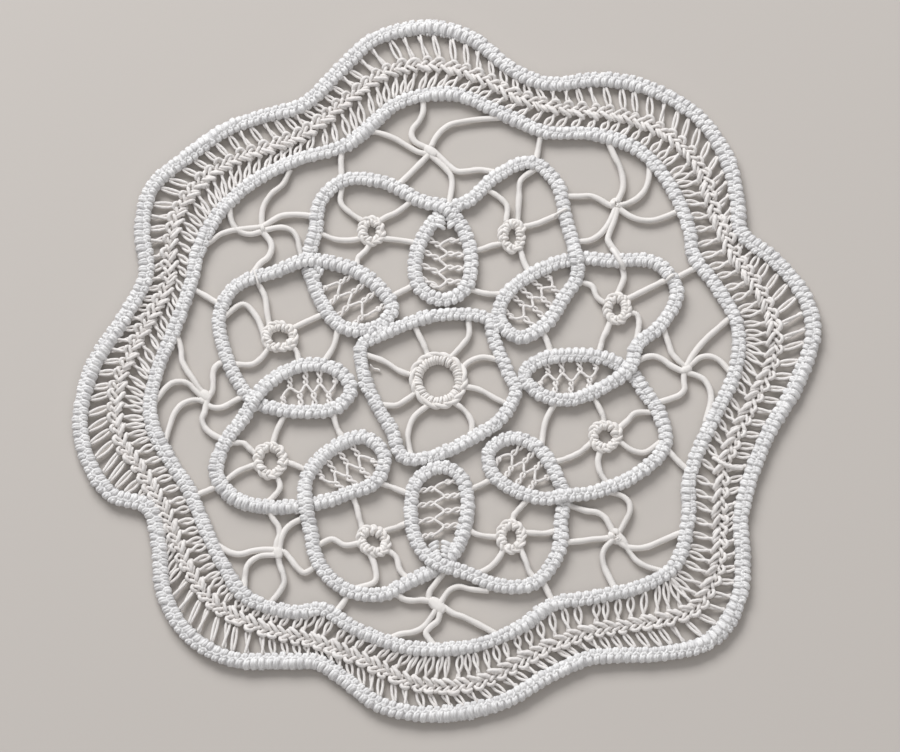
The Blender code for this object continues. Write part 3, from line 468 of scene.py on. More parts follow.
# ---------------------------------------------------------------- yarn
class Yarn:
    """Strands of thread gathered into one mesh.  Each strand keeps its own
    length and turn in the map "Thread", and its own tone."""

    def __init__(self):
        self.verts, self.faces, self.maps, self.tones = [], [], [], []
        self.count = 0

    def _add(self, verts, faces, maps, tones):
        self.verts.append(verts)
        for f, m in zip(faces, maps):
            self.faces.append(f + self.count)
            self.maps.append(m)
        self.tones.append(tones)
        self.count += len(verts)

    def strands(self, path, radius, sides=6, tone=0.5, spin=0.0):
        """Many open strands at once, each drawn to a point at both ends."""
        path = np.asarray(path, float)
        if path.ndim == 2:
            path = path[None]
        n, m, _ = path.shape
        radius = np.broadcast_to(np.asarray(radius, float), (n, m))
        along = np.gradient(path, axis=1)
        along /= np.maximum(np.linalg.norm(along, axis=2, keepdims=True), 1e-12)
        upright = np.abs(along[:, 0, 2:3]) > 0.8
        prev = np.where(upright, np.array([[1.0, 0, 0]]), np.array([[0, 0, 1.0]]))
        normal = np.empty_like(path)
        for i in range(m):
            prev = prev - (prev * along[:, i]).sum(1, keepdims=True) * along[:, i]
            prev = prev / np.maximum(np.linalg.norm(prev, axis=1, keepdims=True), 1e-12)
            normal[:, i] = prev
        self._tubes(path, along, normal, radius, radius, sides, tone, spin, False)

    def tube(self, path, wide, high=None, sides=8, tone=0.5, closed=False, tilt=0.0):
        """One strand whose section stays upright: half width, half height."""
        path = np.asarray(path, float)
        m = len(path)
        if closed:
            along = np.roll(path, -1, axis=0) - np.roll(path, 1, axis=0)
        else:
            along = np.gradient(path, axis=0)
        along /= np.maximum(np.linalg.norm(along, axis=1, keepdims=True), 1e-12)
        up = np.array([0, 0, 1.0]) - along[:, 2:3] * along
        up /= np.maximum(np.linalg.norm(up, axis=1, keepdims=True), 1e-12)
        wide = np.broadcast_to(np.asarray(wide, float), (m,))
        high = wide if high is None else np.broadcast_to(np.asarray(high, float), (m,))
        self._tubes(path[None], along[None], up[None], high[None], wide[None], sides, tone, 0.0, closed, tilt)

    def _tubes(self, path, along, normal, r_normal, r_side, sides, tone, spin, closed, tilt=0.0):
        n, m, _ = path.shape
        side = np.cross(along, normal)
        turn = (np.arange(sides) + spin) * 2 * math.pi / sides
        ring = (normal[:, :, None] * (np.cos(turn)[:, None] * r_normal[:, :, None, None])
                + side[:, :, None] * (np.sin(turn)[:, None] * r_side[:, :, None, None]))
        if tilt:
            ring = ring + along[:, :, None] * (np.sin(turn)[:, None] * r_side[:, :, None, None] * tilt)
        around = path[:, :, None] + ring
        run = np.zeros((n, m))
        run[:, 1:] = np.cumsum(np.linalg.norm(np.diff(path, axis=1), axis=2), axis=1)
        run /= MM
        j = np.arange(sides)
        j2 = (j + 1) % sides
        v1, v2 = j / sides, (j + 1) / sides
        tone = np.broadcast_to(np.asarray(tone, float), (n,))
        if closed:
            i = np.arange(m)
            i2 = (i + 1) % m
            idx = (np.arange(n) * m * sides)[:, None, None]
            a = idx + i[None, :, None] * sides + j
            b = idx + i[None, :, None] * sides + j2
            c = idx + i2[None, :, None] * sides + j2
            d = idx + i2[None, :, None] * sides + j
            last = run[:, -1:] + np.linalg.norm(path[:, :1] - path[:, -1:], axis=2) / MM
            run2 = np.concatenate([run[:, 1:], last], axis=1)
            u1 = np.broadcast_to(run[:, :, None], a.shape)
            u2 = np.broadcast_to(run2[:, :, None], a.shape)
            w1, w2 = np.broadcast_to(v1, a.shape), np.broadcast_to(v2, a.shape)
            quads = np.stack([a, b, c, d], -1).reshape(-1, 4)
            maps = np.stack([np.stack([u1, w1], -1), np.stack([u1, w2], -1),
                             np.stack([u2, w2], -1), np.stack([u2, w1], -1)], -2).reshape(-1, 4, 2)
            self._add(around.reshape(-1, 3), [quads], [maps], np.repeat(tone, m * sides))
            return
        inner = m - 2
        size = inner * sides + 2
        verts = np.concatenate([path[:, :1], around[:, 1:-1].reshape(n, -1, 3), path[:, -1:]], axis=1)
        base = (np.arange(n) * size)[:, None, None]
        i = np.arange(inner - 1)[None, :, None]
        a = base + 1 + i * sides + j
        b = base + 1 + i * sides + j2
        c = base + 1 + (i + 1) * sides + j2
        d = base + 1 + (i + 1) * sides + j
        u1 = np.broadcast_to(run[:, 1:-2, None], a.shape)
        u2 = np.broadcast_to(run[:, 2:-1, None], a.shape)
        w1, w2 = np.broadcast_to(v1, a.shape), np.broadcast_to(v2, a.shape)
        quads = np.stack([a, b, c, d], -1).reshape(-1, 4)
        maps = np.stack([np.stack([u1, w1], -1), np.stack([u1, w2], -1),
                         np.stack([u2, w2], -1), np.stack([u2, w1], -1)], -2).reshape(-1, 4, 2)
        base = base[:, 0]
        shape = (n, sides)
        tip1 = np.broadcast_to(base, shape)
        tip2 = np.broadcast_to(base + size - 1, shape)
        end = base + 1 + (inner - 1) * sides
        first = np.stack([tip1, base + 1 + j2 + np.zeros(shape, int), base + 1 + j + np.zeros(shape, int)], -1)
        last = np.stack([tip2, end + j + np.zeros(shape, int), end + j2 + np.zeros(shape, int)], -1)
        mid = np.broadcast_to((v1 + v2) / 2, shape)
        w1, w2 = np.broadcast_to(v1, shape), np.broadcast_to(v2, shape)
        ua, ub = np.broadcast_to(run[:, :1], shape), np.broadcast_to(run[:, 1:2], shape)
        uc, ud = np.broadcast_to(run[:, -2:-1], shape), np.broadcast_to(run[:, -1:], shape)
        first_map = np.stack([np.stack([ua, mid], -1), np.stack([ub, w2], -1), np.stack([ub, w1], -1)], -2)
        last_map = np.stack([np.stack([ud, mid], -1), np.stack([uc, w1], -1), np.stack([uc, w2], -1)], -2)
        tris = np.concatenate([first.reshape(-1, 3), last.reshape(-1, 3)])
        tri_maps = np.concatenate([first_map.reshape(-1, 3, 2), last_map.reshape(-1, 3, 2)])
        self._add(verts.reshape(-1, 3), [quads, tris], [maps, tri_maps], np.repeat(tone, size))

    def build(self, name, mat, nodes):
        verts = np.concatenate(self.verts)
        verts[:, 2] = np.maximum(verts[:, 2], 0.00002)        # pressed flat by the table
        corners = np.concatenate([f.ravel() for f in self.faces])
        sizes = np.concatenate([np.full(len(f), f.shape[1]) for f in self.faces])
        starts = np.concatenate([[0], np.cumsum(sizes)[:-1]])
        maps = np.concatenate([m.reshape(-1, 2) for m in self.maps])
        mesh = bpy.data.meshes.new(name)
        mesh.vertices.add(len(verts))
        mesh.vertices.foreach_set("co", verts.astype(np.float32).ravel())
        mesh.loops.add(len(corners))
        mesh.loops.foreach_set("vertex_index", corners.astype(np.int32))
        mesh.polygons.add(len(sizes))
        mesh.polygons.foreach_set("loop_start", starts.astype(np.int32))
        mesh.update(calc_edges=True)
        mesh.polygons.foreach_set("use_smooth", np.ones(len(sizes), bool))
        layer = mesh.uv_layers.new(name="Thread")
        layer.uv.foreach_set("vector", maps.astype(np.float32).ravel())
        tones = mesh.attributes.new("tone", "FLOAT", "POINT")
        tones.data.foreach_set("value", np.concatenate(self.tones).astype(np.float32))
        mesh.materials.append(mat)
        obj = bpy.data.objects.new(name, mesh)
        bpy.context.collection.objects.link(obj)
        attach(obj, "root")
        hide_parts(*nodes)
        TRIANGLES[name] = int((sizes - 2).sum())
        return obj


TRIANGLES = {}

# ---------------------------------------------------------------- crochet
# One stitch of the cord: distance along in pitches, across from the middle
# to the stitch's own edge, and up as a share of the height.  Each stitch is a
# loop: a plump knob at the edge that parts in two over the cord's middle.
# thick is the yarn's thickness there, as a share.
Knot = namedtuple("Knot", "along across up thick")
TOP_LOOP = [
    Knot(0.26, -0.10, 0.45, 0.95), Knot(0.24, 0.08, 0.78, 1.12), Knot(0.17, 0.32, 1.00, 1.32),
    Knot(0.14, 0.56, 1.02, 1.50), Knot(0.15, 0.78, 0.84, 1.50), Knot(0.13, 0.91, 0.58, 1.36),
    Knot(0.00, 0.95, 0.42, 1.20), Knot(-0.13, 0.90, 0.54, 1.36), Knot(-0.16, 0.76, 0.82, 1.50),
    Knot(-0.15, 0.54, 1.00, 1.50), Knot(-0.19, 0.30, 0.98, 1.32), Knot(-0.26, 0.06, 0.76, 1.12),
    Knot(-0.30, -0.12, 0.44, 0.95),
]
MIDDLE = [
    Knot(-0.34, -0.46, 0.46, 1.00), Knot(-0.28, -0.28, 0.82, 1.15), Knot(-0.12, -0.06, 0.97, 1.30),
    Knot(0.08, 0.12, 0.97, 1.30), Knot(0.26, 0.28, 0.82, 1.15), Knot(0.34, 0.44, 0.46, 1.00),
]
UNDER_LOOP = [
    Knot(-0.34, -0.30, 0.30, 1.0), Knot(-0.28, 0.20, 0.05, 1.0), Knot(-0.20, 0.70, 0.12, 1.0),
    Knot(-0.10, 0.94, 0.36, 1.0), Knot(0.10, 0.94, 0.36, 1.0), Knot(0.20, 0.70, 0.12, 1.0),
    Knot(0.28, 0.20, 0.04, 1.0), Knot(0.34, -0.30, 0.30, 1.0),
]


def crochet(way, half, height, pitch, seed, thread=0.00036, lift=None, press=None):
    """Paths of the stitches of a crocheted cord, in order along it."""
    rng = np.random.default_rng(seed)
    count = 2 * int(round(way.length / pitch))
    step = way.length / count
    k = np.arange(count)
    hand = np.where(k % 2 == 0, 1.0, -1.0)[:, None]
    start = (k + rng.normal(0, 0.12, count)) * step
    fat = rng.normal(1, 0.07, count)[:, None]
    swell = rng.normal(1, 0.045, count)[:, None]
    tilt = rng.normal(0, 0.07, count)[:, None]
    out = []
    roll_seed, width_seed = rng.integers(1 << 30, size=2)
    for table, points, sides in ((TOP_LOOP, 15, 6), (MIDDLE, 8, 6), (UNDER_LOOP, 8, 4)):
        t, across, up, thick = spread(table, points).T
        u = across[None] * hand * np.ones((count, 1))
        w = (2 * up - 1)[None] * np.ones((count, 1))
        s = start[:, None] + (t[None] + (0.20 * hand + tilt) * across[None]) * 2 * step
        turn = slow(np.random.default_rng(roll_seed), s, way.length, 0.30, (3, 5, 8, 13, 21))
        turn = turn + rng.normal(0, 0.05, (count, 1))
        c, d = np.cos(turn), np.sin(turn)
        wide = 1 + slow(np.random.default_rng(width_seed), s, way.length, 0.035, (7, 12, 19, 31))
        r = thread
        across = (u * c - w * d) * (half * 1.03 - r) * wide * swell
        up = height / 2 + (u * d + w * c) * (height / 2 - r) * swell
        up = np.maximum(up, r * 0.9)
        if press is not None:
            up = up * press(s)
        if lift is not None:
            up = up + lift(s)
        out.append((way.place(s, across, up), r * fat * thick[None], sides))
    return start, out


CORE_PAINTED_SHADE = -0.7        # painted shade: the cord's inside, seen in the creases between stitches, is given a low tone so it is coloured dark like a shaded crease


def core(way, half, height, first, last, lift=None, press=None, closed=False):
    """The inside of a cord, as a plain flattened tube."""
    count = max(8, int((last - first) / 0.0013))
    s = np.linspace(first, last, count, endpoint=not closed)
    up = np.full(count, height / 2)
    tall = np.full(count, height / 2 - 0.00034)
    if press is not None:
        up, tall = up * press(s), tall * press(s)
    if lift is not None:
        up = up + lift(s)
    return way.place(s, np.zeros(count), up), np.full(count, half * 0.89), tall


def cord(name, way, half, height, pitch, seed, mat, nodes, thread=0.00036):
    """A whole closed cord as one piece."""
    yarn = Yarn()
    path, wide, high = core(way, half, height, 0, way.length, closed=True)
    # painted shade: the core tube's low tone colours the creases between the stitches dark
    yarn.tube(path, wide, high, sides=8, tone=CORE_PAINTED_SHADE, closed=True)
    rng = np.random.default_rng(seed + 1000)
    start, loops = crochet(way, half, height, pitch, seed, thread)
    for paths, radius, sides in loops:
        yarn.strands(paths, radius, sides, tone=rng.random(len(paths)))
    return yarn.build(name, mat, nodes)


# ---------------------------------------------------------------- bars
def wrapped(yarn, path, radius, seed, wrap=0.00046, groove=0.18, sides=8, flat=0.90, tone=0.5):
    """A bar wrapped closely with thread: fine ridges across its length."""
    rng = np.random.default_rng(seed)
    run = np.concatenate([[0], np.cumsum(np.linalg.norm(np.diff(path, axis=0), axis=1))])
    turns = max(3, int(round(run[-1] / wrap)))
    at = np.linspace(0, run[-1], 2 * turns + 1)
    fine = np.column_stack([np.interp(at, run, path[:, k]) for k in (0, 1, 2)])
    loose = np.clip(slow(rng, at, run[-1], 1.0, (0.6, 1.1, 2.3)), 0, 1)
    ridge = np.where(np.arange(len(at)) % 2 == 1, 1.0, 1.0 - groove * (0.7 + 1.1 * loose))
    body = 1 + slow(rng, at, run[-1], 0.045, (0.7, 1.3, 2.1, 4.7))
    size = radius * ridge * body * (1 + rng.normal(0, 0.012, len(at)))
    size[0] = size[-1] = radius * 0.6
    yarn.tube(fine, size, size * flat, sides=sides, tone=tone, tilt=0.22)


def bar_path(points, shift, z_foot=0.00135, z_middle=BAR_MIDDLE, z_hub=0.00130, into=0.0008):
    """A bar's line in space from inside the cord at its foot to its hub."""
    pts = [lay(p) - shift for p in points]
    back = pts[0] - pts[1]
    pts = [pts[0] + back / np.linalg.norm(back) * into] + pts
    line = smooth(pts, False, 0.0003)
    t = np.linspace(0, 1, len(line))
    z = z_middle + (z_foot - z_middle) * np.clip(1 - t * 4, 0, 1) ** 2 + (z_hub - z_middle) * np.clip(t * 4 - 3, 0, 1) ** 2
    return np.column_stack([line, z])


def ring_way(ring, shift):
    """Centre line of a buttonholed ring, clockwise."""
    turn = math.radians(ring.turn_deg)
    pts = []
    for i in range(120):
        a = -2 * math.pi * i / 120
        u, v = ring.half_u * math.cos(a), ring.half_v * math.sin(a)
        pts.append(lay((ring.middle[0] + u * math.cos(turn) - v * math.sin(turn),
                        ring.middle[1] - u * math.sin(turn) - v * math.cos(turn))) - shift)
    return Way(np.array(pts), True)


# One rib of the buttonhole stitch over a ring: along in ribs, across and up
# as shares of the half width and the height.
Rib = namedtuple("Rib", "along across up")
RIB = [Rib(0.30, 0.42, 0.62), Rib(0.22, 0.20, 0.90), Rib(0.08, -0.14, 1.00), Rib(-0.04, -0.54, 0.97),
       Rib(-0.12, -0.88, 0.76), Rib(-0.14, -1.02, 0.45), Rib(-0.10, -0.80, 0.15)]


def buttonholed(yarn, way, half, height, seed, rib=0.00104, uneven=1.2, rope=0.0030, strand=0.00050, out=0.40, sway=0.00040):
    """A ring covered in buttonhole stitch, its knotted edge outwards."""
    rng = np.random.default_rng(seed)
    count = max(16, int(way.length / 0.0010))
    s = np.linspace(0, way.length, count, endpoint=False)
    yarn.tube(way.place(s, np.full(count, 0.05 * half), height * 0.45), half * 0.66, height * 0.34,
              sides=8, tone=0.35, closed=True)
    count = int(round(way.length / rib))
    k = np.arange(count)
    start = (k + rng.normal(0, 0.13 * uneven, count)) * way.length / count
    t, across, up = spread(RIB, 9).T
    r = rib * 0.50
    swell = rng.normal(1, 0.07 * uneven, count)[:, None]
    lean = rng.normal(0, 0.22 * uneven, count)[:, None]
    s = start[:, None] + (t[None] + lean * across[None]) * rib
    path = way.place(s, across[None] * (half - r) * swell, np.maximum(up[None] * (height - r) * swell, r))
    yarn.strands(path, r * rng.normal(1, 0.10 * uneven, count)[:, None], 6, tone=rng.random(count))
    # the knotted edge: two thick strands wound slowly round each other
    twists = max(2, int(round(way.length / rope)))
    count = twists * 20
    s = np.linspace(0, way.length, count, endpoint=False)
    wander = slow(rng, s, way.length, 0.08 * uneven, (2, 3, 5)) * half
    for part in (0, 1):
        turn = 2 * math.pi * (twists * s / way.length + part / 2) + 0.5 * uneven * slow(rng, s, way.length, 1.0, (2, 3, 5))
        path = way.place(s, half * out + wander + sway * np.cos(turn), height * 0.62 + 0.00040 * np.sin(turn))
        yarn.tube(path, strand * (1 + slow(rng, s, way.length, 0.10, (4, 7, 11))), sides=8, tone=0.3 + 0.4 * part, closed=True)


def satin_knot(yarn, middle, long, wide, slant, seed, z=0.00150, height=0.00095):
    """A flat oval of closely laid thread over the meeting of the legs."""
    rng = np.random.default_rng(seed)
    turns = max(6, int(round(2 * long / 0.00046)))
    u = np.linspace(-1, 1, 2 * turns + 1)
    go = np.array([math.cos(slant), math.sin(slant)])
    path = np.column_stack([middle[0] + go[0] * u * long, middle[1] + go[1] * u * long, z + 0 * u])
    size = np.sqrt(np.maximum(1 - (0.93 * u) ** 2, 0.02))
    ridge = np.where(np.arange(len(u)) % 2 == 1, 1.0, 0.90) * (1 + rng.normal(0, 0.02, len(u)))
    yarn.tube(path, wide * size * ridge, height * np.sqrt(size) * ridge, sides=10, tone=0.55, tilt=0.15)


def woven_knot(yarn, middle, long, wide, slant, seed):
    """Thread darned round and round between the legs."""
    rng = np.random.default_rng(seed)
    n = 64
    turn = np.linspace(0, 2 * math.pi * 3.2, n)
    reach = np.linspace(0.30, 1.0, n)
    u, v = reach * long * np.cos(turn), reach * wide * np.sin(turn)
    go = np.array([math.cos(slant), math.sin(slant)])
    up = 0.00185 + 0.00042 * np.sin(3.0 * turn + 1.0) - 0.0006 * reach ** 3
    path = np.column_stack([middle[0] + go[0] * u - go[1] * v, middle[1] + go[1] * u + go[0] * v, up])
    yarn.strands(path, 0.00040 * (1 + slow(rng, np.arange(n), n, 0.08, (3, 7))), 6, tone=0.5)


def bound_knot(yarn, middle, long, wide, slant, seed):
    """A single turn of thread binding the legs where they cross."""
    go = np.array([math.cos(slant), math.sin(slant)])
    t = np.linspace(-1, 1, 11)
    for off in (-0.00022, 0.00024):
        up = 0.00070 + 0.00170 * np.sqrt(np.maximum(1 - t ** 2 * 0.96, 0))
        path = np.column_stack([middle[0] + go[0] * t * long - go[1] * off, middle[1] + go[1] * t * long + go[0] * off, up])
        yarn.strands(path, 0.00028, 6, tone=0.4)


def over_wrap(yarn, start, end, top, radius, seed, count=2):
    """Thread carried over a cord from one side to the other."""
    rng = np.random.default_rng(seed)
    flat = end - start
    long = np.linalg.norm(flat)
    go = flat / long
    side = np.array([-go[1], go[0]])
    t = np.linspace(-0.35, 1.35, 13)
    hump = np.clip(1 - (2 * (t - 0.5) / 1.5) ** 4, 0, 1) ** 0.5
    for i in range(count):
        off = (i - (count - 1) / 2) * radius * 1.9 + rng.normal(0, radius * 0.2)
        flat_path = start + flat * t[:, None] + side * (off * (0.6 + 0.4 * np.sin(math.pi * np.clip(t, 0, 1))))[:, None]
        z = 0.0009 + (top - 0.0009) * hump
        yarn.strands(np.column_stack([flat_path, z]), radius, 6, tone=0.7)


def joined(yarn, start, end, wide_start, wide_end, seed):
    """Stitches drawing together two cords that lie side by side."""
    rng = np.random.default_rng(seed)
    line = end - start
    long = np.linalg.norm(line)
    side = np.array([-line[1], line[0]]) / long
    count = max(3, int(round(long / 0.00112)))
    t = (np.arange(count) + 0.5) / count
    over = np.array([1.0, 0.88, 0.68, 0.46, 0.26, 0.12])
    up = np.array([0.0012, 0.00205, 0.00255, 0.00250, 0.00190, 0.00080])
    for hand in (-1, 1):
        at = t + rng.normal(0, 0.10 / count, count)
        wide = wide_start + (wide_end - wide_start) * at
        flat = (start + line * at[:, None])[:, None] + side * (hand * wide[:, None] * over[None])[..., None]
        flat = flat + line / long * (0.55 * wide[:, None] * (0.55 - over[None]))[..., None]
        path = np.concatenate([flat, np.broadcast_to(up, flat.shape[:-1])[..., None]], -1)
        yarn.strands(path, 0.00062 * rng.normal(1, 0.06, count)[:, None], 6, tone=rng.random(count))


# ---------------------------------------------------------------- insertion
def pair(yarn, start, end, apart, lift, radius, tone, points):
    """Twin strands from start to end.  apart and lift give, at each of the
    points along the way, half the space between the twins and half their
    difference in height."""
    t = np.linspace(0, 1, points)
    base = start[:, None] + (end - start)[:, None] * t[None, :, None]
    go = (end - start)[:, :2]
    go = go / np.maximum(np.linalg.norm(go, axis=1, keepdims=True), 1e-9)
    side = np.stack([-go[:, 1], go[:, 0]], -1)
    for sign in (1, -1):
        path = base.copy()
        path[:, :, :2] += sign * apart[..., None] * side[:, None]
        path[:, :, 2] += sign * lift
        path[:, :, 2] -= 0.00018 * np.sin(math.pi * t)[None]
        path[:, :, 2] = np.maximum(path[:, :, 2], 0.0004)
        yarn.strands(path, radius, 6, tone=np.clip(tone + 0.15 * sign, 0, 1))


def unlay(points):
    """Places on the sheet of points of the plan."""
    k = math.tan(SHEET_SLANT) / SHEET_EYE
    rise = points[:, 1] * math.cos(SHEET_SLANT)
    up = rise / (1 + k * rise)
    across = points[:, 0] * (1 - k * up)
    return np.column_stack([SHEET_MIDDLE[0] + across / SQUARE, SHEET_MIDDLE[1] - up / SQUARE])


def abreast(way, shift, places, along, side):
    """Distances along a cord square across, on the sheet, from the
    places of a line beside it, evened out.  side is 1 for a cord outside the
    line, -1 for one inside it."""
    on_sheet = unlay(way.points[:-1] + shift)
    runs = []
    for place, go in zip(places, along):
        away = on_sheet - place
        ahead = np.abs(away @ go)
        across = side * (away @ np.array([go[1], -go[0]]))
        runs.append(way.run[np.where((across > 0) & (across < 60), ahead, 1e6).argmin()])
    runs = np.unwrap(np.array(runs) * 2 * math.pi / way.length) * way.length / (2 * math.pi)
    backwards = -1 if runs[-1] < runs[0] else 1
    straight = np.arange(len(runs)) * backwards * way.length / len(runs)
    rest = runs - straight
    for _ in range(3):
        rest = (np.roll(rest, 1) + 2 * rest + np.roll(rest, -1)) / 4
    return straight + rest


class Chart:
    """The insertion's stitch chart, asked by distance along the spine."""

    def __init__(self, outer, inner, shift):
        self.line = Way(smooth([p for lobe in SPINE for p in lobe[1:]], True, 1.0), True)
        self.long = self.line.length
        self.rows = np.array([(k * self.long / len(STRETCHES), *row[1:]) for k, row in enumerate(STRETCHES)])
        self.shift = shift
        knots = np.arange(0, self.long - 10, 20.0)
        line = self.points(knots)
        self.spine = Way(smooth(line, True), True)
        self.knots, self.runs = knots, self.spine.nearest_run(line)
        self.fine = np.arange(0, self.long, 4.0)
        self.outer, self.inner = outer, inner
        places = self.line.at(self.fine)
        along = self.line.at(self.fine + 11.0) - self.line.at(self.fine - 11.0)
        along /= np.linalg.norm(along, axis=1)[:, None]
        self.outer_runs = abreast(outer, shift, places, along, 1)
        self.inner_runs = abreast(inner, shift, places, along, -1)

    def column(self, k, s):
        return np.interp(np.mod(s, self.long), np.append(self.rows[:, 0], self.long), np.append(self.rows[:, k], self.rows[0, k]))

    def points(self, s):
        flat = self.line.at(s) - self.line.side(s) * self.column(1, s)[:, None]
        return lay(flat.T).T - self.shift

    def _along(self, s, at, runs, length):
        turns = np.floor(s / self.long)
        return np.interp(s - turns * self.long, np.append(at, self.long), np.append(runs, runs[0] + length)) + turns * length

    def on_spine(self, s):
        return self._along(s, self.knots, self.runs, self.spine.length)

    def on_outer(self, s):
        return self._along(s, self.fine, self.outer_runs, self.outer.length)

    def on_inner(self, s):
        return self._along(s, self.fine, self.inner_runs, self.inner.length)

    def stitches(self, k, multiple):
        """Number of stitches round the spine, and their tally at distances
        along it."""
        s = np.arange(0, self.long, 0.5)
        tally = np.concatenate([[0], np.cumsum(0.5 / self.column(k, s))])
        count = int(round(tally[-1] / multiple)) * multiple
        return np.append(s, self.long), tally * count / tally[-1], count


def insertion(outer, inner, shift, mat):
    """Needle-made insertion: a braided spine, with a pair of threads to the
    outer border and a twisted pair to the inner one at every turn."""
    rng = np.random.default_rng(41)
    yarn = Yarn()
    chart = Chart(outer, inner, shift)
    spine = chart.spine
    far_in, tally_in, units = chart.stitches(2, 2)
    far_out, tally_out, ears = chart.stitches(4, 1)
    # the plait
    for j in range(3):
        m = units * 10
        phase = np.linspace(0, units, m, endpoint=False)
        s = chart.on_spine(np.interp(phase, tally_in, far_in))
        turn = 2 * math.pi * (phase / 2 + j / 3)
        across = 0.00130 * np.sin(turn) * (1 + slow(rng, s, spine.length, 0.16, (17, 29, 43, 71)))
        across = across + slow(rng, s, spine.length, 0.00016, (37, 59, 83, 113))
        up = 0.00130 + 0.00048 * np.sin(2 * turn) + slow(rng, s, spine.length, 0.00012, (41, 67, 97))
        size = 0.00050 * (1 + slow(rng, s, spine.length, 0.09, (53, 79, 131)))
        yarn.tube(spine.place(s + 0.00030 * np.sin(2 * turn), across, up), size, sides=6, tone=0.45 + 0.1 * j, closed=True)
    # ears on the outer side
    ear = np.interp(np.arange(ears) + 0.5 + rng.normal(0, 0.06, ears), tally_out, far_out)
    pitch = np.clip(chart.column(4, ear), 9, 12.5)[:, None] * SQUARE
    at = chart.on_spine(ear)[:, None]
    t = np.array([-0.34, -0.26, -0.10, 0.08, 0.24, 0.33, 0.35])
    across = np.array([0.90, 1.55, 1.94, 1.98, 1.70, 1.15, 0.60]) * MM
    up = np.array([1.1, 1.60, 1.95, 2.05, 1.80, 1.40, 0.9]) * MM
    grow = rng.normal(1, 0.09, (ears, 1))
    path = spine.place(at + t[None] * pitch * grow, across[None] * rng.normal(1, 0.07, (ears, 1)), up[None] * rng.normal(1, 0.06, (ears, 1)))
    path = np.stack([spread(p, 10) for p in path])
    yarn.strands(path, 0.00053 * grow, 6, tone=rng.random(ears))
    # strokes slanting down to the inner side
    arc = np.interp(np.arange(units) + 0.25 + rng.normal(0, 0.07, units), tally_in, far_in)
    pitch_in = np.clip(chart.column(2, arc), 8.5, 12.5)[:, None] * SQUARE
    at_in = chart.on_spine(arc)[:, None]
    t = np.array([-0.50, -0.40, -0.20, 0.02, 0.24, 0.42, 0.50])
    across = np.array([0.25, -0.10, -0.62, -1.06, -1.42, -1.72, -1.86]) * MM
    up = np.array([1.2, 1.85, 2.15, 2.20, 2.05, 1.60, 0.95]) * MM
    grow = rng.normal(1, 0.08, (units, 1))
    path = spine.place(at_in + t[None] * pitch_in * grow, across[None] * rng.normal(1, 0.07, (units, 1)), up[None] * rng.normal(1, 0.05, (units, 1)))
    path = np.stack([spread(p, 10) for p in path])
    yarn.strands(path, 0.00054 * grow, 6, tone=rng.random(units))
    # pairs to the outer border
    near = spine.place(at[:, 0] + 0.02 * pitch[:, 0], np.full(ears, 0.00165), 0.00140)
    run = chart.on_outer(ear - chart.column(5, ear) - 1.6) + rng.normal(0, 0.00025, ears)
    far = outer.place(run, np.full(ears, -(OUTER_HALF - 0.0006)), 0.00150)
    t = np.linspace(0, 1, 8)[None]
    crossed = (rng.random(ears) < 0.35)[:, None]
    apart = np.where(crossed, 0.00046 * np.cos(math.pi * (0.15 + t * 0.95)), 0.00018 + 0.00046 * np.sin(math.pi * t ** 1.2))
    lift = np.where(crossed, 0.00028 * np.sin(math.pi * (0.15 + t * 0.95)), 0.00008)
    pair(yarn, far, near, apart * rng.uniform(0.65, 1.20, (ears, 1)), lift, 0.00040, rng.random(ears), 8)
    # twisted pairs to the inner border
    near = spine.place(at_in[:, 0] + 0.36 * pitch_in[:, 0], np.full(units, -0.00150), 0.00125)
    run = chart.on_inner(arc + 1.8 - chart.column(3, arc)) + rng.normal(0, 0.00022, units)
    far = inner.place(run, np.full(units, INNER_HALF - 0.0006), 0.00150)
    t = np.linspace(0, 1, 12)[None]
    place = rng.normal(0.22, 0.05, (units, 1))
    wave = np.sin(math.pi * (t - place) / (1 - place))
    apart = np.where(t < place, 0.6, 1.0) * wave * 0.00066 * rng.uniform(0.70, 1.25, (units, 1))
    lift = 0.00030 * np.cos(math.pi * (t - place) / (1 - place))
    pair(yarn, near, far, apart, lift, 0.00042, rng.random(units), 12)
    # one thick thread darned right across
    stray = chart.on_spine(np.array([773.0, 775.0, 776.0, 774.0, 771.0, 770.0]))
    path = spine.place(stray, np.array([5.2, 3.6, 1.4, -0.8, -2.4, -3.6]) * MM, np.array([1.5, 2.1, 2.75, 2.75, 1.9, 1.2]) * MM)
    yarn.strands(spread(path, 16), 0.00052, 8, tone=0.8)
    obj = yarn.build("insertion_lace", mat, ["insertion"])
    return obj, spine.length


def mesh_net(k, shift, rng):
    """Nodes of a teardrop's net and the feet of their pairs, in the plan."""
    row = NETS[k]
    drop = [lay(p) - shift for p in TEARDROPS[k][1:]]
    edge = smooth(drop, True)
    toe = edge[np.linalg.norm(edge - drop[0], axis=1).argmax()]
    long = float(np.linalg.norm(toe - drop[0]))
    along = (toe - drop[0]) / long
    side = np.array([-along[1], along[0]])
    run, out = (edge - drop[0]) @ along, (edge - drop[0]) @ side
    nodes, feet = [], []
    for i in range(row.stitches):
        way = row.first * (1 if i % 2 == 0 else -1)
        lean = row.lean if i % 2 == 0 else row.other_lean
        at = long * (0.31 + 0.54 * i / (row.stitches - 1)) + rng.normal(0, 0.00016)
        near = out[np.abs(run - at) < 0.0008]
        nodes.append(drop[0] + along * at + side * ((near.min() + near.max()) / 2 + way * row.swing * SQUARE * rng.normal(1, 0.12)))
        at = min(max(at + lean * SQUARE, 0.22 * long), 0.90 * long)
        near = way * out[np.abs(run - at) < 0.0008]
        feet.append(drop[0] + along * at + side * way * (near.max() - FLOWER_HALF + 0.0002))
    return nodes, feet


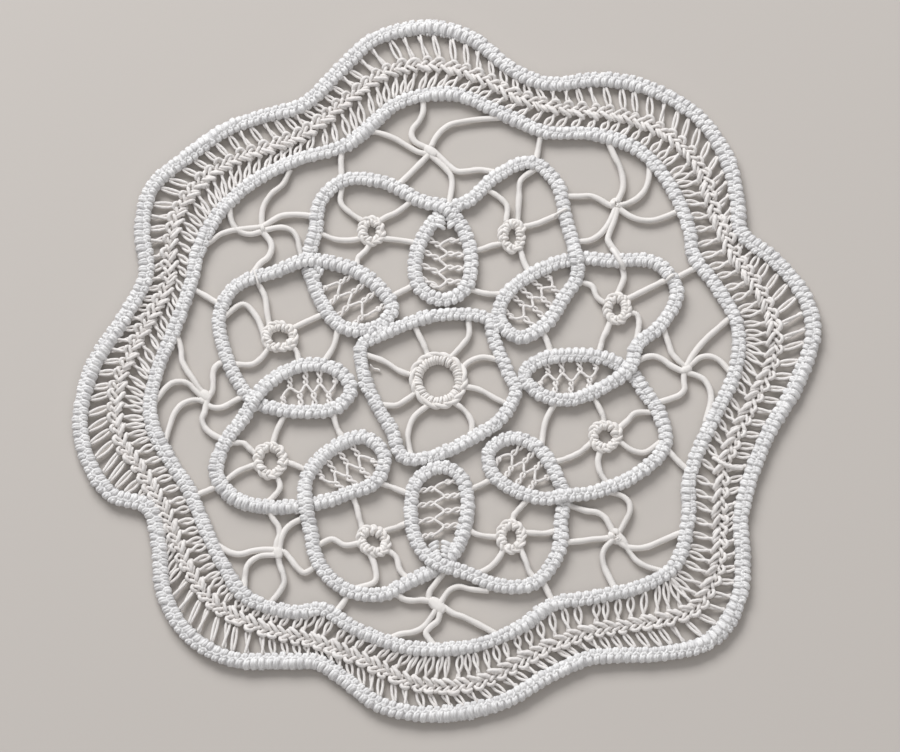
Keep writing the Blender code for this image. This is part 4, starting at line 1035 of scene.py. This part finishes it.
def net(k, shift, mat):
    """Net filling of one teardrop."""
    rng = np.random.default_rng(300 + k)
    yarn = Yarn()
    nodes, feet = mesh_net(k, shift, rng)
    zig = np.array(nodes)
    zig = np.vstack([zig[0] + (feet[0] - zig[0]) * 0.5, zig, zig[-1] + (feet[-1] - zig[-1]) * 0.5])
    line = smooth(zig, False, 0.00045)
    up = 0.00125 + 0.00012 * np.sin(np.arange(len(line)) * 0.9)
    yarn.strands(np.column_stack([line, up]), 0.00039, 6, tone=0.6)
    a, b = np.array(nodes), np.array(feet)
    go = (b - a) / np.linalg.norm(b - a, axis=1, keepdims=True)
    b = b + go * 0.0007
    near = np.column_stack([a - go * 0.0002, np.full(len(a), 0.00125)])
    far = np.column_stack([b, np.full(len(b), 0.00150)])
    t = np.linspace(0, 1, 10)[None]
    turns = rng.normal(1.15, 0.12, (len(a), 1))
    turn = 2 * math.pi * turns * t
    swell = np.clip(t * 6, 0.15, 1)
    pair(yarn, near, far, 0.00052 * np.sin(turn) * swell, 0.00030 * np.cos(turn) * swell, 0.00038, rng.random(len(a)), 10)
    return yarn.build("net_%d" % (k + 1), mat, ["teardrop_net_%d" % (k + 1)])


# ---------------------------------------------------------------- materials
def cotton(name, light, shade, plies, per_mm, ridge, fuzz, rough=0.82, sheen=0.25):
    """Cotton thread: plies twisted round each other, fine loose fibres, each
    strand a little lighter or duller than the next, and painted shade in the
    grooves between plies and in the cords' cores."""
    mat = bpy.data.materials.new(name)
    mat.use_nodes = True
    nodes, links = mat.node_tree.nodes, mat.node_tree.links
    shader = nodes["Principled BSDF"]
    shader.inputs["Roughness"].default_value = rough
    shader.inputs["Metallic"].default_value = 0.0
    shader.inputs["Sheen Weight"].default_value = sheen
    shader.inputs["Sheen Roughness"].default_value = 0.5
    shader.inputs["Specular IOR Level"].default_value = 0.25

    def node(kind, **values):
        n = nodes.new(kind)
        for key, value in values.items():
            setattr(n, key, value)
        return n

    def maths(what, a, b=None):
        n = node("ShaderNodeMath", operation=what)
        for k, x in enumerate((a, b)):
            if x is None:
                continue
            if isinstance(x, (int, float)):
                n.inputs[k].default_value = x
            else:
                links.new(x, n.inputs[k])
        return n.outputs[0]

    thread = node("ShaderNodeUVMap", uv_map="Thread")
    split = node("ShaderNodeSeparateXYZ")
    links.new(thread.outputs[0], split.inputs[0])
    turn = maths("ADD", maths("MULTIPLY", split.outputs[0], per_mm), maths("MULTIPLY", split.outputs[1], float(plies)))
    ply = maths("POWER", maths("ABSOLUTE", maths("SINE", maths("MULTIPLY", turn, math.pi))), 0.6)

    place = node("ShaderNodeTexCoord")
    fibre = node("ShaderNodeTexNoise")
    fibre.inputs["Scale"].default_value = 5200.0
    fibre.inputs["Detail"].default_value = 3.0
    links.new(place.outputs["Object"], fibre.inputs["Vector"])
    blotch = node("ShaderNodeTexNoise")
    blotch.inputs["Scale"].default_value = 260.0
    blotch.inputs["Detail"].default_value = 3.0
    links.new(place.outputs["Object"], blotch.inputs["Vector"])
    tone = node("ShaderNodeAttribute", attribute_name="tone")

    height = maths("ADD", maths("MULTIPLY", ply, ridge), maths("MULTIPLY", fibre.outputs["Fac"], fuzz))
    bump = node("ShaderNodeBump")
    bump.inputs["Strength"].default_value = 0.55
    bump.inputs["Distance"].default_value = 0.00007
    links.new(height, bump.inputs["Height"])
    links.new(bump.outputs[0], shader.inputs["Normal"])

    # painted shade: colour is darker in the grooves between plies (low ply) and on strands given a low tone, such as
    # the cords' cores; blotches, fibres and the rest of the tone are the thread's own colour variation
    value = maths("ADD", maths("MULTIPLY", ply, 0.30), maths("MULTIPLY", tone.outputs["Fac"], 0.25))
    value = maths("ADD", value, maths("MULTIPLY", blotch.outputs["Fac"], 0.45))
    value = maths("ADD", value, maths("MULTIPLY", fibre.outputs["Fac"], 0.20))
    ramp = node("ShaderNodeValToRGB")
    ramp.color_ramp.elements[0].position = 0.25
    ramp.color_ramp.elements[0].color = (*shade, 1)
    ramp.color_ramp.elements[1].position = 0.85
    ramp.color_ramp.elements[1].color = (*light, 1)
    links.new(value, ramp.inputs["Fac"])
    links.new(ramp.outputs[0], shader.inputs["Base Color"])
    return mat


def plain_floor():
    mat = bpy.data.materials.new("pale_floor")
    mat.use_nodes = True
    shader = mat.node_tree.nodes["Principled BSDF"]
    shader.inputs["Base Color"].default_value = (0.50, 0.465, 0.43, 1)
    shader.inputs["Roughness"].default_value = 0.75
    mesh = bpy.data.meshes.new("floor")
    r = 2.5
    mesh.from_pydata([(-r, -r, 0), (r, -r, 0), (r, r, 0), (-r, r, 0)], [], [(0, 1, 2, 3)])
    mesh.materials.append(mat)
    obj = bpy.data.objects.new("floor", mesh)
    bpy.context.collection.objects.link(obj)


def area_light(name, place, aim, size, power, colour):
    lamp = bpy.data.lights.new(name, "AREA")
    lamp.shape = "RECTANGLE"
    lamp.size, lamp.size_y = size
    lamp.energy = power
    lamp.color = colour
    obj = bpy.data.objects.new(name, lamp)
    obj.location = place
    obj.rotation_euler = (Vector(aim) - Vector(place)).to_track_quat("-Z", "Y").to_euler()
    bpy.context.collection.objects.link(obj)


def main():
    # centre lines, as in the part
    outer = ease(smooth([lay(p) for lobe in OUTER_LOBES for p in lobe[1:]], True), OUTER_HALF + 0.0009)
    shift = (outer.min(axis=0) + outer.max(axis=0)) / 2
    outer = Way(outer - shift, True)
    inner = Way(ease(smooth([lay(p) - shift for s in INNER_SCALLOPS for p in s[1:]], True), INNER_HALF + 0.0010), True)
    centre = Way(ease(smooth([lay(p) - shift for s in CENTRE_SIDES for p in s], True), CENTRE_HALF + 0.0006), True)

    # the second colour of each material is the ramp's dark end, which the painted shade of ply grooves and cord cores
    # reaches
    cord_mat = cotton("cord_cotton", (0.825, 0.815, 0.805), (0.575, 0.565, 0.565), 2, 0.55, 1.0, 0.6)
    bar_mat = cotton("bar_cotton", (0.83, 0.80, 0.77), (0.68, 0.645, 0.61), 1, 0.0, 0.25, 0.6, rough=0.62)
    needle_mat = cotton("insertion_cotton", (0.80, 0.77, 0.745), (0.62, 0.585, 0.56), 2, 0.75, 1.0, 0.5, rough=0.7)

    # borders and the centre's frame
    cord("border_outer", outer, OUTER_HALF, CORD_HEIGHT, 0.00196, 11, cord_mat, ["outer_cord"])
    cord("border_inner", inner, INNER_HALF, CORD_HEIGHT, 0.00188, 12, cord_mat, ["inner_cord"])
    cord("centre_frame", centre, CENTRE_HALF, CORD_HEIGHT, 0.00184, 13, cord_mat, ["centre_cord"])

    # the flower: one running cord, which crosses itself at the foot of each
    # petal and loops inwards as a teardrop
    pts, first_pass, second_pass, petal_start = [], [], [], []
    for k in range(8):
        petal, drop, foot = PETALS[k], TEARDROPS[k], PETALS[(k + 1) % 8].foot
        petal_start.append(len(pts))
        pts += list(petal[2:])
        first_pass.append(len(pts))
        pts += [foot]
        pts += list(drop[2:])
        second_pass.append(len(pts))
        pts += [foot]
    run_pts = [lay(p) - shift for p in pts]
    fine = smooth(run_pts, True)
    flower = Way(fine, True)
    # distances along at the control points, in order
    marks, low = [], 0.0
    for p in run_pts:
        away = np.linalg.norm(flower.points[:-1] - p, axis=1)
        ahead = (flower.run[:-1] >= low - 0.0005) & (flower.run[:-1] < low + 0.03)
        if not marks:
            ahead = np.ones(len(away), bool)
        at = int(np.where(ahead, away, 1e9).argmin())
        marks.append(flower.run[at])
        low = flower.run[at]
    over = np.array([marks[k] for k in first_pass])
    under = np.array([marks[k] for k in second_pass])

    def bumps(s, places, width):
        s = np.asarray(s, float)
        gap = np.abs(np.mod(s[..., None] - places + flower.length / 2, flower.length) - flower.length / 2)
        return np.exp(-(gap / width) ** 2).sum(-1)

    def lift(s):
        return 0.00165 * np.minimum(bumps(s, over, 0.0036), 1)

    def press(s):
        return 1 - 0.20 * np.minimum(bumps(s, over, 0.0028), 1) - 0.42 * np.minimum(bumps(s, under, 0.0030), 1)

    start, loops = crochet(flower, FLOWER_HALF, CORD_HEIGHT, 0.00186, 14, lift=lift, press=press)
    rng = np.random.default_rng(77)
    for k in range(8):
        first = marks[petal_start[k]] - 0.002
        last = (marks[petal_start[k + 1]] if k < 7 else marks[0] + flower.length) - 0.002
        yarn = Yarn()
        path, wide, high = core(flower, FLOWER_HALF, CORD_HEIGHT, first - 0.0012, last + 0.0012, lift, press)
        # painted shade: the core tube's low tone colours the creases between the stitches dark
        yarn.tube(path, wide, high, sides=8, tone=CORE_PAINTED_SHADE)
        mine = np.mod(start - first, flower.length) < last - first
        for paths, radius, sides in loops:
            yarn.strands(paths[mine], radius[mine], sides, tone=rng.random(int(mine.sum())))
        for start_, end_, wide_start, wide_end in NECKS[k]:
            joined(yarn, lay(start_) - shift, lay(end_) - shift, wide_start * SQUARE, wide_end * SQUARE, 900 + k)
        yarn.build("flower_cord_%d" % (k + 1), cord_mat, ["petals_cord", "teardrop_%d" % (k + 1)])

    lace, long = insertion(outer, inner, shift, needle_mat)
    for k in range(8):
        net(k, shift, needle_mat)

    # rings with their bars
    for k, (ring, bars) in enumerate(zip(PETAL_RINGS, PETAL_RING_BARS)):
        yarn = Yarn()
        way = ring_way(ring, shift)
        buttonholed(yarn, way, 0.00148, 0.0026, 500 + k)
        for i, bar in enumerate(bars):
            wrapped(yarn, bar_path(bar, shift), BAR_RADIUS * (1.0 if i % 2 else 0.96), 600 + 10 * k + i, tone=0.3 + 0.1 * i)
        yarn.build("rosette_%d" % (k + 1), bar_mat, ["petal_rosette_%d" % (k + 1)])
    yarn = Yarn()
    way = ring_way(CENTRE_RING._replace(half_u=22.3, half_v=22.3), shift)
    buttonholed(yarn, way, 0.00172, 0.0026, 520, rib=0.00086, uneven=0.8, rope=0.0052, strand=0.00060, out=0.54, sway=0.00038)
    for i, bar in enumerate(CENTRE_RING_BARS):
        wrapped(yarn, bar_path(bar, shift), BAR_RADIUS * 0.97, 690 + i, tone=0.3 + 0.05 * i)
    yarn.build("rosette_centre", bar_mat, ["centre_rosette"])

    # spiders
    for k, spider in enumerate(SPIDERS):
        yarn = Yarn()
        for i, leg in enumerate(spider.legs):
            path = bar_path(leg, shift, z_hub=0.00125 + 0.00012 * (i % 3))
            wrapped(yarn, path, BAR_RADIUS * (0.99 + 0.05 * (i % 2)), 700 + 10 * k + i, tone=0.25 + 0.1 * i)
        make = {"satin": satin_knot, "woven": woven_knot, "bound": bound_knot}[spider.made]
        plump = 1.15 if spider.made == "woven" else 1.05
        make(yarn, lay(spider.middle) - shift, spider.long * SQUARE * plump, spider.wide * SQUARE * plump,
             math.radians(spider.slant), 760 + k)
        yarn.build("spider_%d" % (k + 1), bar_mat, ["gap_spider_%d" % (k + 1)])

    # bar threads carried over a cord, and the loose end of one
    yarn = Yarn()
    for k, (outside, inside, radius) in enumerate(OVERS):
        over_wrap(yarn, lay(outside) - shift, lay(inside) - shift, CORD_HEIGHT + 0.35 * radius, radius, 840 + k, 1)
    tail = smooth([lay(p) - shift for p in TAIL], False, 0.0004)
    t = np.linspace(0, 1, len(tail))
    yarn.strands(np.column_stack([tail, 0.00075 + 0.0018 * np.clip(1 - t * 3, 0, 1) ** 2]), 0.00030, 6, tone=0.6)
    yarn.build("carried_threads", bar_mat, ["petal_rosette_1"])

    # ties and links
    for word, short, table in (("tie", "tie_bar", TIES), ("link", "link_bar", LINKS)):
        for k, tie in enumerate(table):
            yarn = Yarn()
            wrapped(yarn, bar_path(tie, shift, z_hub=0.00135), BAR_RADIUS, 800 + 20 * (word == "link") + k)
            yarn.build("%s_%d" % (short, k + 1), bar_mat, ["%s_%d" % (word, k + 1)])

    plain_floor()
    target = Vector((-shift[0], -shift[1], 0.0014))
    camera = bpy.data.cameras.new("camera")
    camera.lens = 184.6
    camera.sensor_width = 36.0
    camera.clip_start = 0.05
    obj = bpy.data.objects.new("camera", camera)
    obj.location = target + Vector((0, -1.2 * math.sin(SHEET_SLANT), 1.2 * math.cos(SHEET_SLANT)))
    obj.rotation_euler = (target - obj.location).to_track_quat("-Z", "Y").to_euler()
    bpy.context.collection.objects.link(obj)
    bpy.context.scene.camera = obj

    area_light("window", (-0.54, 1.26, 1.08), (0, 0, 0), (1.30, 0.80), 34.0, (0.985, 0.99, 1.0))
    area_light("fill", (0.35, -0.70, 0.80), (0, 0, 0), (0.8, 0.8), 2.6, (1.0, 0.97, 0.93))
    bpy.context.scene.view_settings.view_transform = "Standard"
    world = bpy.data.worlds.new("studio")
    bpy.context.scene.world = world
    world.use_nodes = True
    world.node_tree.nodes["Background"].inputs[0].default_value = (0.95, 0.96, 1.0, 1)
    world.node_tree.nodes["Background"].inputs[1].default_value = 0.36


main()
total = sum(TRIANGLES.values())
print("triangles", total, {k: v for k, v in TRIANGLES.items() if v > 60000})
